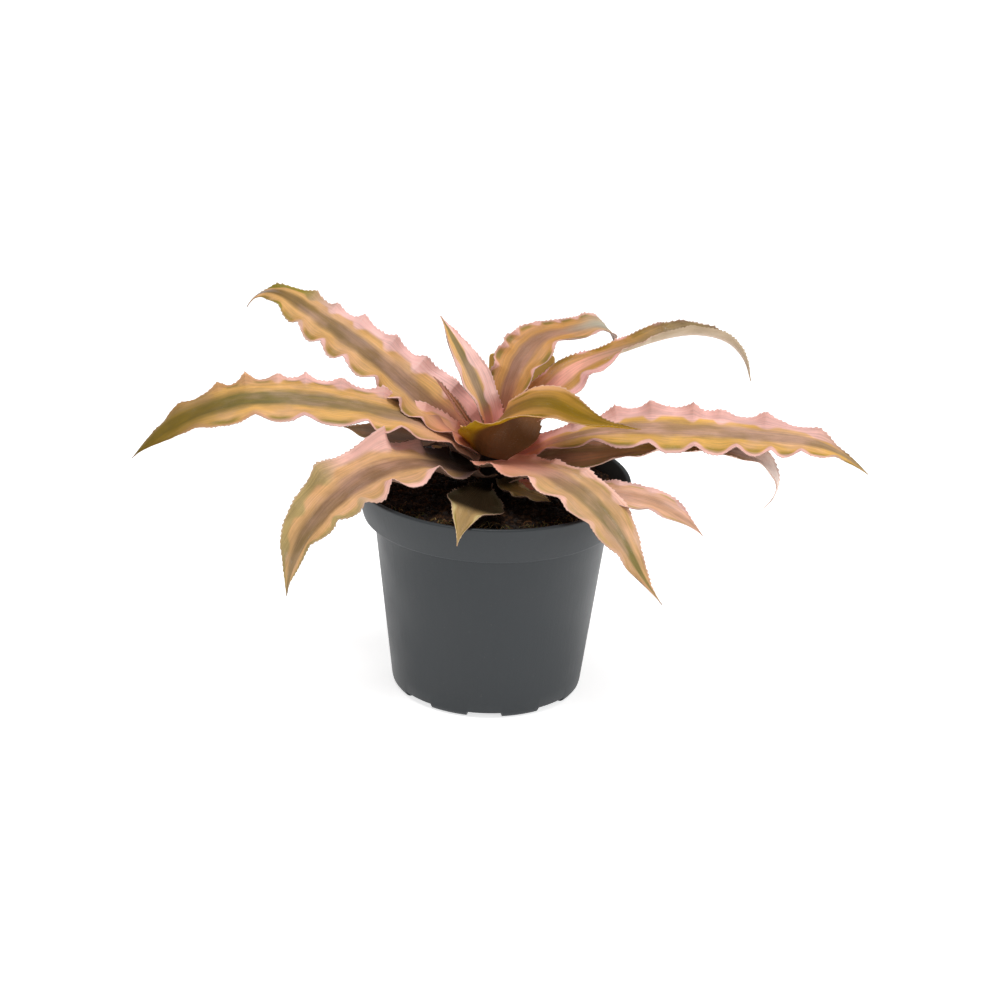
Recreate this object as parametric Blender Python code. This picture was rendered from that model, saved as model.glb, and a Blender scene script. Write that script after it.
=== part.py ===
"""A potted earth star: a rosette of arching leaves on a short stem, in a grower's pot of soil.

Everything is in metres with +Z up. The origin is the middle of the pot's underside, and the
viewer's side of the plant is -Y. Each leaf is one thin solid swept along its own arch.
"""

from collections import namedtuple
from math import pi

import bmesh
import bpy
import numpy as np
from mathutils import Matrix

MM = 0.001
SEAT_GAP = 0.3 * MM  # left between pieces that rest on one another

POT_HEIGHT = 95.5 * MM
POT_RIM_RADIUS = 60 * MM
POT_COLLAR_HEIGHT = 16.5 * MM
POT_COLLAR_FOOT_RADIUS = 55.4 * MM
POT_BODY_TOP_RADIUS = 51 * MM
POT_BODY_FOOT_RADIUS = 41.5 * MM
POT_WALL = 1.5 * MM
POT_SHOULDER_HEIGHT = 4 * MM  # the slope between the body and the collar
POT_FOOT_RISE = 2.5 * MM  # how far the floor stands above the table
POT_FOOT_RING = 8 * MM  # how wide the ring is that the pot stands on
POT_CENTRE_PAD_RADIUS = 11 * MM
POT_CORNER = 3 * MM  # the rounding at the bottom of the body
POT_CHANNELS = 8
POT_CHANNEL_WIDTH = 15 * MM
DRAIN_HOLE_RADIUS = 3.5 * MM
DRAIN_HOLE_RING = 22 * MM
POT_SEGMENTS = 64

SOIL_TOP = 89.5 * MM
SOIL_MOUND = 0.5 * MM  # the soil stands this much higher around the stem

STEM_RADIUS = 5.5 * MM
STEM_TIP_RADIUS = 2.5 * MM
STEM_SHOULDER = 108 * MM
STEM_TOP = 113 * MM
STEM_DEPTH = 15 * MM  # how deep the stem stands in the soil
STEM_SEGMENTS = 24

LEAF_THICKNESS = 1.0 * MM
LEAF_TIP_WIDTH = 1.6 * MM
LEAF_FOOT_SHARE = 0.26  # the width of a leaf where it leaves the stem, against its full width
LEAF_WIDENS_BY = 0.3  # the share of its length over which a leaf reaches its full width
LEAF_BEND_SOFTNESS = 0.05  # the share of its length over which a change of angle is spread
LEAF_STEPS = 200  # small steps that are added up to find the midrib
LEAF_STATIONS = 20
LEAF_COLUMNS = 5

LABEL_WIDTH = 29 * MM
LABEL_TOP = 136 * MM
LABEL_HEAD_FOOT = 114 * MM  # where the wide head ends
LABEL_STAKE_TOP = 106 * MM  # where the narrow stake begins
LABEL_STAKE_WIDTH = 9 * MM
LABEL_POINT = 70 * MM
LABEL_POINT_LENGTH = 8 * MM
LABEL_THICKNESS = 1.0 * MM
LABEL_CENTRE = (11 * MM, 45 * MM)

# Each angle is a list of evenly spaced values along the leaf, in degrees. heading is the compass
# direction (0 is +X, 90 is +Y), climb the slope, roll the turn about the leaf's own length.
# Lengths, widths and where the foot meets the stem (radius, height) are in millimetres. cup is how
# far the left and the right half curl up, and sides is how full each half is along the leaf.
# taper is where the leaf starts to narrow and how round its end is.
Leaf = namedtuple(
    "Leaf", "name heading climb roll length width foot cup sides taper",
    defaults=(((60, 25, 12), (60, 25, 12)), ((1,), (1,)), (0.5, 2.2)),
)
LEAVES = (
    Leaf("leaf_back_left", (160, 152, 146), (36, 34, 32, 22, 20, -65), (0, -20, -25, -22, -20),
         138, 26, (6.2, 106),
         cup=((50, 6, 0, -5), (50, 5, -8, 0)),
         sides=((0.25, 0.3, 0.7, 1, 0.9, 0.6), (1.4, 1.4, 1.05, 0.85, 0.85, 0.75))),
    Leaf("leaf_left", (177, 185, 186), (51, 16, 9, -1, -27, -48), (-8, -12, -28, -28, -25),
         163, 29, (6.4, 102),
         cup=((15, 8, 8, 5), (60, 15, -25, -20)),
         sides=((0.9, 1.05, 0.95, 0.9, 1, 0.8), (0.25, 0.25, 0.6, 0.95, 1.15, 2.2))),
    Leaf("leaf_front_left", (210, 216, 218), (21, 19, -8, -32, -54, -83), (0, -5, -18, -20),
         121, 30, (6, 98),
         cup=((40, 5, 0, 5), (40, 20, 10, 5)),
         sides=((1, 1.2, 1.1, 0.7, 0.35, 0.2), (1, 1, 1.25, 1.15, 1.25, 1.3))),
    Leaf("leaf_heart_tall", (155, 155), (82, 64, 58, 52), (0, -20, 0),
         57, 15, (1.5, 113.4),
         cup=((45, 25, 12), (45, 25, 12)),
         sides=((1,), (1.1, 1.15, 1.1, 0.85, 0.8))),
    Leaf("leaf_back_right", (65, 44, 47), (87, 70, 35, -8, 2, -77), (0, 20, 20),
         105, 29, (5.8, 109.4),
         sides=((0.7, 0.6, 0.78, 0.45, 0.45, 0.9), (0.7, 0.65, 0.85, 0.5, 0.42, 0.9)),
         taper=(0.75, 3.5)),
    Leaf("leaf_right_twisted", (33, 22), (57, 47, 6, 10, -20, -83), (0, 30, 32, 0, -15, -15, -10, 0),
         150, 20, (6.4, 106.5),
         cup=((60, 20, 60, 60), (60, 15, 65, 50)),
         sides=((0.8, 0.75, 0.35, 1.1, 1.2, 0.8), (1, 1.2, 1.1, 0.6, 0.8, 0.8))),
    Leaf("leaf_heart_right", (-128, 7, -9, -5), (90, 42, 32, -28, -11, -1), (-19, 27, -12),
         87.5, 20, (6.7, 107.8),
         cup=((42, -28, 37, 10), (15, 37, 12, 12)),
         sides=((0.5, 2, 0.75, 1, 0.5, 0.3), (0.7, 0.7, 1.15, 1.3, 0.6, 0.3))),
    Leaf("leaf_right", (-5, -6), (33, 18, 3, -1, -4, -46), (0, 25, 20),
         161, 29, (6, 103.2),
         cup=((60, 25, 10, 5), (0, 6, 5, 0)),
         sides=((0.6, 0.5, 0.85, 0.65, 0.8, 1), (0.35, 0.4, 0.98, 0.88, 0.9, 0.7))),
    Leaf("leaf_right_under", (-9, -3), (42, 10, 15, 4, -20, -146), (30, 23, 15),
         140, 22, (6.6, 95),
         sides=((0.6, 0.5, 0.5, 0.7, 0.9, 0.5), (0.8, 1, 0.4, 0.4, 0.8, 0.5))),
    Leaf("leaf_front_right", (-52, -43, -47), (16, 5, -13, -32, -46, -32), (-6, 4, 0, 0),
         110, 26, (6.2, 105.4),
         cup=((22, 6, 5, 5), (10, 8, 5, 5)),
         sides=((0.3, 0.35, 0.9, 0.9, 0.6, 0.3), (0.9, 1.1, 1.1, 0.88, 0.68, 0.3))),
    Leaf("leaf_right_low", (-28, -26), (0, 12, 15, 3, -13, -46), (0, 10, 10),
         97, 22, (6, 92),
         sides=((0.7, 0.6, 0.5, 0.5, 0.75, 0.5), (0.4, 0.5, 0.8, 0.8, 1, 1.2))),
    Leaf("leaf_front_short", (-102, -100, -105), (14, 7, 4, -62), (0, -15, -15),
         65, 26, (6, 94.4),
         cup=((40, 20, 18), (40, 10, 0)),
         sides=((0.2, 0.25, 0.7, 1.15, 0.5, 0.3), (0.3, 0.4, 0.6, 0.8, 0.45, 0.25)),
         taper=(0.62, 1.8)),
    Leaf("leaf_front_shaded", (-57, -51, -40), (-16, 9, 1), (0, 0),
         33, 10, (6.4, 96.9),
         cup=((30, 5, 0), (30, 5, 0))),
    Leaf("leaf_heart_thin", (170, 160, 160), (62, 50, 45), (0, -20, 0),
         36, 3, (5.6, 109.5)),
    Leaf("leaf_left_under", (158, 160), (51, -5, 4, -6), (0, -5, -10),
         67, 22, (6.3, 98.5),
         sides=((0.3, 0.3, 0.5, 0.9, 1, 1), (0.5, 0.6, 1, 1, 1, 1))),
    Leaf("leaf_back", (108, 113), (25, 12, -5, -35), (0, 0),
         75, 18, (6, 102.5)),
    Leaf("leaf_back_left_low", (136, 138), (24, 12, -4, -30), (0, 0),
         76, 20, (6, 93.8)),
    Leaf("leaf_back_short", (75, 70), (25, 10, 0), (0, 0),
         26, 14, (6, 95)),
)


def material(name, colour, roughness):
    made = bpy.data.materials.new(name)
    made.use_nodes = True
    shader = made.node_tree.nodes["Principled BSDF"]
    shader.inputs["Base Color"].default_value = (*colour, 1)
    shader.inputs["Roughness"].default_value = roughness
    shader.inputs["Metallic"].default_value = 0
    return made


def add_object(name, points, faces, finish, smooth=True):
    mesh = bpy.data.meshes.new(name)
    mesh.from_pydata([tuple(point) for point in points], [], [tuple(face) for face in faces])
    mesh.polygons.foreach_set("use_smooth", [smooth] * len(mesh.polygons))
    if finish:
        mesh.materials.append(finish)
    made = bpy.data.objects.new(name, mesh)
    bpy.context.collection.objects.link(made)
    return made


def grid_faces(rows, columns, first=0, wrap=False):
    """Quads between neighbouring points of a grid, as rows of four point numbers."""
    row, column = np.meshgrid(np.arange(rows - 1), np.arange(columns - (not wrap)), indexing="ij")
    here = first + row * columns + column
    beside = first + row * columns + (column + 1) % columns
    return np.stack([here, beside, beside + columns, here + columns], -1).reshape(-1, 4)


def lathe(name, outline, segments, finish):
    """A solid turned about Z from (radius, height) points that start and end on the axis."""
    turn = np.arange(segments) * 2 * pi / segments
    radius, height = np.array(outline[1:-1]).T
    ring = np.stack([np.cos(turn), np.sin(turn), np.zeros(segments)], -1)
    points = radius[:, None, None] * ring + height[:, None, None] * np.array([0, 0, 1])
    points = np.vstack([points.reshape(-1, 3), [0, 0, outline[0][1]], [0, 0, outline[-1][1]]])
    faces = grid_faces(len(radius), segments, wrap=True).tolist()
    first_pole, last_pole = len(points) - 2, len(points) - 1
    last_ring = (len(radius) - 1) * segments
    for step in range(segments):
        after = (step + 1) % segments
        faces.append((first_pole, after, step))
        faces.append((last_pole, last_ring + step, last_ring + after))
    return add_object(name, points, faces, finish)


def cutter(name, shape, place):
    """A hidden box or cylinder, one unit wide before place, for cutting another piece."""
    mesh = bpy.data.meshes.new(name)
    built = bmesh.new()
    if shape == "box":
        bmesh.ops.create_cube(built, size=1)
    else:
        bmesh.ops.create_cone(built, cap_ends=True, segments=20, radius1=0.5, radius2=0.5, depth=1)
    built.transform(place)
    built.to_mesh(mesh)
    built.free()
    made = bpy.data.objects.new(name, mesh)
    made.hide_render = True
    bpy.context.collection.objects.link(made)
    return made


def cut(piece, tool):
    made = piece.modifiers.new(tool.name, "BOOLEAN")
    made.operation = "DIFFERENCE"
    made.solver = "EXACT"
    made.object = tool


def around(turn, radius, height, size):
    """A matrix that scales by size, moves out to radius and up to height, then turns about Z."""
    turned = Matrix.Rotation(turn, 4, "Z")
    return turned @ Matrix.Translation((radius, 0, height)) @ Matrix.Diagonal((*size, 1))


def pot_outside():
    """The outside of the pot, from the middle of its underside up to the rim."""
    ring = POT_BODY_FOOT_RADIUS - POT_CORNER
    collar_foot = POT_HEIGHT - POT_COLLAR_HEIGHT
    lip = 1 * MM
    return [
        (0, 0),
        (POT_CENTRE_PAD_RADIUS, 0),
        (POT_CENTRE_PAD_RADIUS, POT_FOOT_RISE),
        (ring - POT_FOOT_RING, POT_FOOT_RISE),
        (ring - POT_FOOT_RING, 0),
        (ring, 0),
        (POT_BODY_FOOT_RADIUS - POT_CORNER * 0.3, POT_CORNER * 0.3),
        (POT_BODY_FOOT_RADIUS, POT_CORNER),
        (POT_BODY_TOP_RADIUS, collar_foot + lip),
        (POT_COLLAR_FOOT_RADIUS - 1.6 * lip, collar_foot + lip),
        (POT_COLLAR_FOOT_RADIUS - 1.6 * lip, collar_foot),
        (POT_COLLAR_FOOT_RADIUS - 0.3 * lip, collar_foot),
        (POT_COLLAR_FOOT_RADIUS, collar_foot + 0.5 * lip),
        (POT_RIM_RADIUS, POT_HEIGHT - lip),
        (POT_RIM_RADIUS - 0.4 * lip, POT_HEIGHT),
    ]


def pot_inside(gap):
    """The inside of the pot, from just under the rim down to the floor, moved in by gap."""
    body_top = POT_HEIGHT - POT_COLLAR_HEIGHT - POT_SHOULDER_HEIGHT
    narrowing = (POT_BODY_TOP_RADIUS - POT_BODY_FOOT_RADIUS) / (POT_HEIGHT - POT_COLLAR_HEIGHT)
    shoulder = POT_HEIGHT - POT_COLLAR_HEIGHT + 2.5 * MM + gap
    floor = POT_FOOT_RISE + POT_WALL + gap
    inner_top = POT_BODY_FOOT_RADIUS + narrowing * body_top - POT_WALL - gap
    collar = POT_COLLAR_FOOT_RADIUS - POT_WALL - gap
    return [
        (POT_RIM_RADIUS - 2.5 * MM - gap, POT_HEIGHT - POT_WALL),
        (collar, shoulder + 1 * MM),
        (collar - 1 * MM, shoulder),
        (inner_top + 1 * MM, shoulder),
        (inner_top, shoulder - 1 * MM),
        (POT_BODY_FOOT_RADIUS - POT_WALL - gap, floor + POT_CORNER),
        (POT_BODY_FOOT_RADIUS - POT_WALL - gap - POT_CORNER * 0.3, floor + POT_CORNER * 0.3),
        (POT_BODY_FOOT_RADIUS - POT_WALL - gap - POT_CORNER, floor),
        (0, floor),
    ]


def make_pot(finish):
    lip = (POT_RIM_RADIUS - 2 * MM, POT_HEIGHT)
    pot = lathe("pot", pot_outside() + [lip] + pot_inside(0), POT_SEGMENTS, finish)
    through = 4 * (POT_FOOT_RISE + POT_WALL)
    channel_height = 2 * POT_FOOT_RISE
    reach = 2 * POT_FOOT_RING
    for step in range(POT_CHANNELS):
        turn = 2 * pi * step / POT_CHANNELS
        size = (reach, POT_CHANNEL_WIDTH, channel_height)
        place = around(turn, POT_BODY_FOOT_RADIUS - POT_FOOT_RING / 2, 0, size)
        cut(pot, cutter(f"channel_cutter_{step}", "box", place))
        size = (2 * DRAIN_HOLE_RADIUS, 2 * DRAIN_HOLE_RADIUS, through)
        place = around(turn + pi / POT_CHANNELS, DRAIN_HOLE_RING, 0, size)
        cut(pot, cutter(f"drain_cutter_{step}", "cylinder", place))
    return pot


def make_soil(finish):
    """The soil fills the pot to just under the rim and has a well for the stem, a slot for the label."""
    wall = pot_inside(SEAT_GAP)[1:]
    well = STEM_RADIUS + SEAT_GAP
    well_floor = SOIL_TOP - STEM_DEPTH - SEAT_GAP
    outline = [(0, wall[-1][1])] + wall[-2::-1]
    outline += [(wall[0][0], SOIL_TOP - 1 * MM), (wall[0][0] - 2 * MM, SOIL_TOP)]
    outline += [(3 * well, SOIL_TOP + 0.3 * SOIL_MOUND), (well, SOIL_TOP + SOIL_MOUND)]
    outline += [(well, well_floor), (0, well_floor)]
    soil = lathe("soil", outline, POT_SEGMENTS, finish)
    depth = SOIL_TOP + 2 * SOIL_MOUND - LABEL_POINT + SEAT_GAP
    size = (LABEL_STAKE_WIDTH + 2 * SEAT_GAP, LABEL_THICKNESS + 2 * SEAT_GAP, depth)
    middle = Matrix.Translation((*LABEL_CENTRE, LABEL_POINT - SEAT_GAP + depth / 2))
    cut(soil, cutter("slot_cutter", "box", middle @ Matrix.Diagonal((*size, 1))))
    return soil


def make_stem(finish):
    foot = SOIL_TOP - STEM_DEPTH
    outline = [(0, foot), (0.6 * STEM_RADIUS, foot), (STEM_RADIUS, foot + 3 * MM)]
    outline += [(STEM_RADIUS, STEM_SHOULDER), (STEM_TIP_RADIUS, STEM_TOP), (0, STEM_TOP)]
    return lathe("stem", outline, STEM_SEGMENTS, finish)


def make_label(finish):
    """A flat label: a wide head above the soil and a narrow stake with a pointed end."""
    head, stake = LABEL_WIDTH / 2, LABEL_STAKE_WIDTH / 2
    outline = [
        (0, LABEL_POINT),
        (stake, LABEL_POINT + LABEL_POINT_LENGTH),
        (stake, LABEL_STAKE_TOP),
        (head, LABEL_HEAD_FOOT),
        (head, LABEL_TOP),
        (-head, LABEL_TOP),
        (-head, LABEL_HEAD_FOOT),
        (-stake, LABEL_STAKE_TOP),
        (-stake, LABEL_POINT + LABEL_POINT_LENGTH),
    ]
    count = len(outline)
    across, depth = LABEL_CENTRE
    points = []
    for side in (-0.5, 0.5):
        points += [(across + x, depth + side * LABEL_THICKNESS, z) for x, z in outline]
    faces = [tuple(range(count)), tuple(range(2 * count - 1, count - 1, -1))]
    for here in range(count):
        after = (here + 1) % count
        faces.append((after, here, here + count, after + count))
    return add_object("plant_label", points, faces, finish, smooth=False)


def along(values, share):
    """Evenly spaced values read off at each share of the length, averaged over a short stretch."""
    near = np.clip(share[..., None] + np.linspace(-LEAF_BEND_SOFTNESS, LEAF_BEND_SOFTNESS, 9), 0, 1)
    return np.interp(near, np.linspace(0, 1, len(values)), values).mean(-1)


def leaf_half_width(leaf, share):
    """Grows from the foot to the full width, then tapers to the tip."""
    grown = np.clip(share / LEAF_WIDENS_BY, 0, 1)
    widening = LEAF_FOOT_SHARE + (1 - LEAF_FOOT_SHARE) * grown * (2 - grown)
    narrow_from, roundness = leaf.taper
    taper = 1 - np.clip((share - narrow_from) / (1 - narrow_from), 0, 1) ** roundness
    return leaf.width * MM * widening * taper / 2


def leaf_frame(leaf, share):
    """The midrib's points, and the directions across the leaf and out of its upper face."""
    fine = np.linspace(0, 1, LEAF_STEPS)
    heading, climb = (np.radians(along(v, fine)) for v in (leaf.heading, leaf.climb))
    ahead = np.stack([np.cos(climb) * np.cos(heading), np.cos(climb) * np.sin(heading), np.sin(climb)], -1)
    radius, height = leaf.foot
    foot = np.array([radius * np.cos(heading[0]), radius * np.sin(heading[0]), height]) * MM
    steps = (ahead[1:] + ahead[:-1]) / 2 * leaf.length * MM / (LEAF_STEPS - 1)
    line = foot + np.vstack([np.zeros(3), np.cumsum(steps, axis=0)])
    midrib = np.stack([np.interp(share, fine, line[:, axis]) for axis in range(3)], -1)
    heading, climb, roll = (np.radians(along(v, share)) for v in (leaf.heading, leaf.climb, leaf.roll))
    ahead = np.stack([np.cos(climb) * np.cos(heading), np.cos(climb) * np.sin(heading), np.sin(climb)], -1)
    level = np.stack([-np.sin(heading), np.cos(heading), np.zeros_like(share)], -1)
    upward = np.cross(ahead, level)
    turn, lean = np.cos(roll)[:, None], np.sin(roll)[:, None]
    return midrib, level * turn + upward * lean, upward * turn - level * lean


def make_leaf(leaf, finish):
    """A thin solid: each cross-section is an arc that starts level at the midrib and curls up."""
    share = np.linspace(0, 1, LEAF_STATIONS)
    midrib, across, out = leaf_frame(leaf, share)
    place = np.linspace(-1, 1, LEAF_COLUMNS)[None, :]
    left, reach = place > 0, np.abs(place)
    curl = np.where(left, along(leaf.cup[0], share)[:, None], along(leaf.cup[1], share)[:, None])
    full = np.where(left, along(leaf.sides[0], share)[:, None], along(leaf.sides[1], share)[:, None])
    half = np.maximum(leaf_half_width(leaf, share)[:, None] * full, LEAF_TIP_WIDTH / 2)
    bend = np.radians(curl) * reach
    sideways = half * place * np.sinc(bend / pi)
    rise = half * reach * np.sin(bend / 2) * np.sinc(bend / 2 / pi)
    upper = midrib[:, None] + across[:, None] * sideways[..., None] + out[:, None] * rise[..., None]
    lean = (np.sin(bend) * np.sign(place))[..., None]
    lower = upper - (out[:, None] * np.cos(bend)[..., None] - across[:, None] * lean) * LEAF_THICKNESS
    loops = np.concatenate([upper, lower[:, ::-1]], axis=1)
    around_count = 2 * LEAF_COLUMNS
    faces = grid_faces(LEAF_STATIONS, around_count, wrap=True)[:, ::-1].tolist()
    last = (LEAF_STATIONS - 1) * around_count
    for column in range(LEAF_COLUMNS - 1):
        here, after = column, column + 1
        below, below_after = around_count - 1 - column, around_count - 2 - column
        faces.append((here, after, below_after, below))
        faces.append((last + after, last + here, last + below, last + below_after))
    return add_object(leaf.name, loops.reshape(-1, 3), faces, finish)


def main():
    for old in list(bpy.data.objects):
        bpy.data.objects.remove(old)
    make_pot(material("grey_plastic", (0.075, 0.083, 0.092), 0.5))
    make_soil(material("dark_soil", (0.02, 0.014, 0.01), 0.95))
    make_stem(material("stem_green", (0.3, 0.24, 0.1), 0.6))
    make_label(material("label_yellow", (0.42, 0.36, 0.08), 0.45))
    for leaf in LEAVES:
        make_leaf(leaf, material(leaf.name, (0.5, 0.33, 0.24), 0.5))


main()
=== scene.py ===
# %% [markdown]
# # A potted earth star
# An earth star is a small bromeliad: a flat rosette of stiff, wavy-edged leaves on a stem only a
# few centimetres tall, here in a moulded grower's pot of dark soil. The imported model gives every
# piece its true size and place. This lesson keeps those places and makes the surfaces: striped
# leaves with ruffled, fine-toothed margins, crumbly soil and matt plastic.

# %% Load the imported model
from collections import namedtuple

import bpy
import numpy as np
from mathutils import Matrix, Vector


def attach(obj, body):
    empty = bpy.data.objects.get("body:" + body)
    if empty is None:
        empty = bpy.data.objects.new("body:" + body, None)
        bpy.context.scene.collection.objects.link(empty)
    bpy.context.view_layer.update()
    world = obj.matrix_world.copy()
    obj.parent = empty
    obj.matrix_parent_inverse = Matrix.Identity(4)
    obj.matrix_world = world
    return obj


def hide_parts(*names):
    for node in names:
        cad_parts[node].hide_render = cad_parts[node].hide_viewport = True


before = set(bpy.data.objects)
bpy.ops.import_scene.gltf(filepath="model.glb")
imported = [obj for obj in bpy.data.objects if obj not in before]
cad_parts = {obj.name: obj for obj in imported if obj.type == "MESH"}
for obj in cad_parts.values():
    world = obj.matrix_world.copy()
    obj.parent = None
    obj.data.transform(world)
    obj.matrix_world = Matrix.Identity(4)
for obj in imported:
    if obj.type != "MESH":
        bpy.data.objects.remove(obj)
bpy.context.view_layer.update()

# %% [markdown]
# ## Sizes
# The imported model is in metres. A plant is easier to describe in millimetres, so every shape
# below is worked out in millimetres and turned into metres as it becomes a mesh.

MM = 0.001

# %% [markdown]
# ## Grids
# Nearly every piece here is a sheet bent into shape: a leaf, the wall of the pot, the top of the
# soil. Each could be pushed into shape by hand, but its points can also be worked out all at
# once with numpy, which keeps every size in sight. One helper turns such a grid of points into
# faces, and another makes the faces a piece. A grid that runs round a body is joined to its own
# start.

# %% Helpers that turn grids of points into meshes
def grid_faces(rows, columns, wrap=False):
    """Quads between neighbouring points of a grid, as rows of four point numbers."""
    row, column = np.meshgrid(np.arange(rows - 1), np.arange(columns - (not wrap)), indexing="ij")
    here = row * columns + column
    beside = row * columns + (column + 1) % columns
    return np.stack([here, beside, beside + columns, here + columns], -1).reshape(-1, 4)


def add_piece(name, points, faces, smooth=True):
    """Makes a mesh object at the origin that rides on the body."""
    mesh = bpy.data.meshes.new(name)
    mesh.from_pydata(np.reshape(points, (-1, 3)).tolist(), [], [list(face) for face in faces])
    mesh.polygons.foreach_set("use_smooth", [smooth] * len(mesh.polygons))
    mesh.update()
    piece = bpy.data.objects.new(name, mesh)
    bpy.context.scene.collection.objects.link(piece)
    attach(piece, "root")
    return piece


print("a grid of 3 by 4 points has", len(grid_faces(3, 4)), "faces")

# %% [markdown]
# ## Leaves
# Each leaf leaves the stem, arches over and ends in a drawn-out point. It could be modelled by
# hand, but eighteen leaves are quicker to bend by numbers, and a leaf is described the way a
# gardener would bend it: which way it heads, how steeply it climbs and how far it is rolled, at
# even steps from foot to tip. Along the sides the margin is longer than the middle, so it has to
# buckle into waves, with sharp crests and round troughs. The places of the crests are given one
# by one, because even waves would look as if a machine made them.

# %% What describes a leaf
# length, width and where the foot meets the stem (radius, height) are in millimetres. heading,
# climb and roll are in degrees at even steps along the leaf: heading is the compass direction
# (0 is +X, 90 is +Y), climb the slope and roll the turn about the leaf's own length. left and
# right are the margins' crests, as (share of the length, height in millimetres), looking out from
# the stem. cup is how far each half curls up at even steps, in degrees, left and right.
# spread says how a leaf gets its width: its share at the foot, and how far along it is full width.
# taper says where it starts to narrow and how roundly, dip how deep the troughs lie, and sides how
# full the left and the right half are at even steps, against the usual outline.
# Not all of it was chosen by hand. In nine leaves heading, climb and length are rounded results of
# a fitting program, in leaf_heart_right roll, cup and sides too, and four more leaves hold or
# started from such results.
OWN = ("name", "length", "width", "foot", "heading", "climb", "roll")  # every leaf says these
USUAL_SHAPE = dict(
    left=(), right=(), cup=((60, 25, 12), (60, 25, 12)), spread=(0.6, 0.3), taper=(0.5, 2.2), dip=1.5,
    sides=((1,), (1,)),
)
Leaf = namedtuple("Leaf", (*OWN, *USUAL_SHAPE), defaults=USUAL_SHAPE.values())
print("a leaf says", len(OWN), "things, and may say", len(USUAL_SHAPE), "more")

# %% [markdown]
# Three long leaves reach out to the left. They are among the widest and the most ruffled, and the
# one at the front hangs down over the pot's collar.

# %% Leaves to the left
LEFT_LEAVES = (
    Leaf(
        "leaf_back_left", length=138, width=26, foot=(6.2, 106),
        heading=(160, 152, 146), climb=(36, 34, 32, 22, 20, -65), roll=(0, -20, -25, -22, -20),
        left=((0.1, 2), (0.2, 1), (0.29, 3), (0.39, 4), (0.51, 3), (0.6, 3), (0.7, 3), (0.8, 1)),
        right=((0.1, 2), (0.2, 4), (0.33, 6), (0.44, 6), (0.56, 5), (0.66, 3), (0.74, 3), (0.87, 1)),
        cup=((50, 6, 0, -5), (50, 5, -8, 0)), dip=1.6,
        sides=((1, 1, 0.85, 1.03, 0.9, 0.6), (1.6, 1.5, 1.05, 0.85, 0.85, 0.75)),
    ),
    Leaf(
        "leaf_left", length=163, width=29, foot=(6.4, 102),
        heading=(177, 185, 186), climb=(51, 16, 9, -1, -27, -48), roll=(-8, -12, -28, -28, -25),
        left=((0.1, 1), (0.24, 2.5), (0.33, 2.5), (0.5, 3), (0.63, 2.5), (0.8, 1)),
        right=((0.1, 1), (0.19, 3), (0.3, 5), (0.41, 4.5), (0.5, 4), (0.57, 2.5), (0.65, 4),
               (0.72, 3), (0.83, 1)),
        cup=((15, 8, 8, 5), (60, 15, -25, -20)),
        sides=((0.2, 1.05, 0.95, 0.9, 1, 0.8), (0.8, 0.75, 0.75, 0.95, 1.15, 2.2)),
    ),
    Leaf(
        "leaf_front_left", length=121, width=30, foot=(6, 98),
        heading=(210, 216, 218), climb=(21, 19, -8, -32, -54, -83), roll=(0, -5, -18, -20),
        left=((0.1, 1), (0.27, 4), (0.45, 5), (0.56, 1), (0.67, 1), (0.8, 1)),
        right=((0.1, 2), (0.22, 3), (0.35, 10), (0.59, 8), (0.72, 1), (0.84, 1)),
        cup=((40, 5, 0, 5), (40, 20, 10, 5)), spread=(0.9, 0.3), dip=2.5,
        sides=((1, 1.2, 1.1, 0.7, 0.35, 0.2), (1, 1, 1.25, 1.15, 1.25, 1.3)),
    ),
)
print("to the left:", [leaf.name for leaf in LEFT_LEAVES])

# %% [markdown]
# A young leaf stands almost upright in the heart, and another arches over from there and twists
# to show its dark underside. Behind them one long leaf rises to the right, and one turns over
# on its way out.

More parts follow.
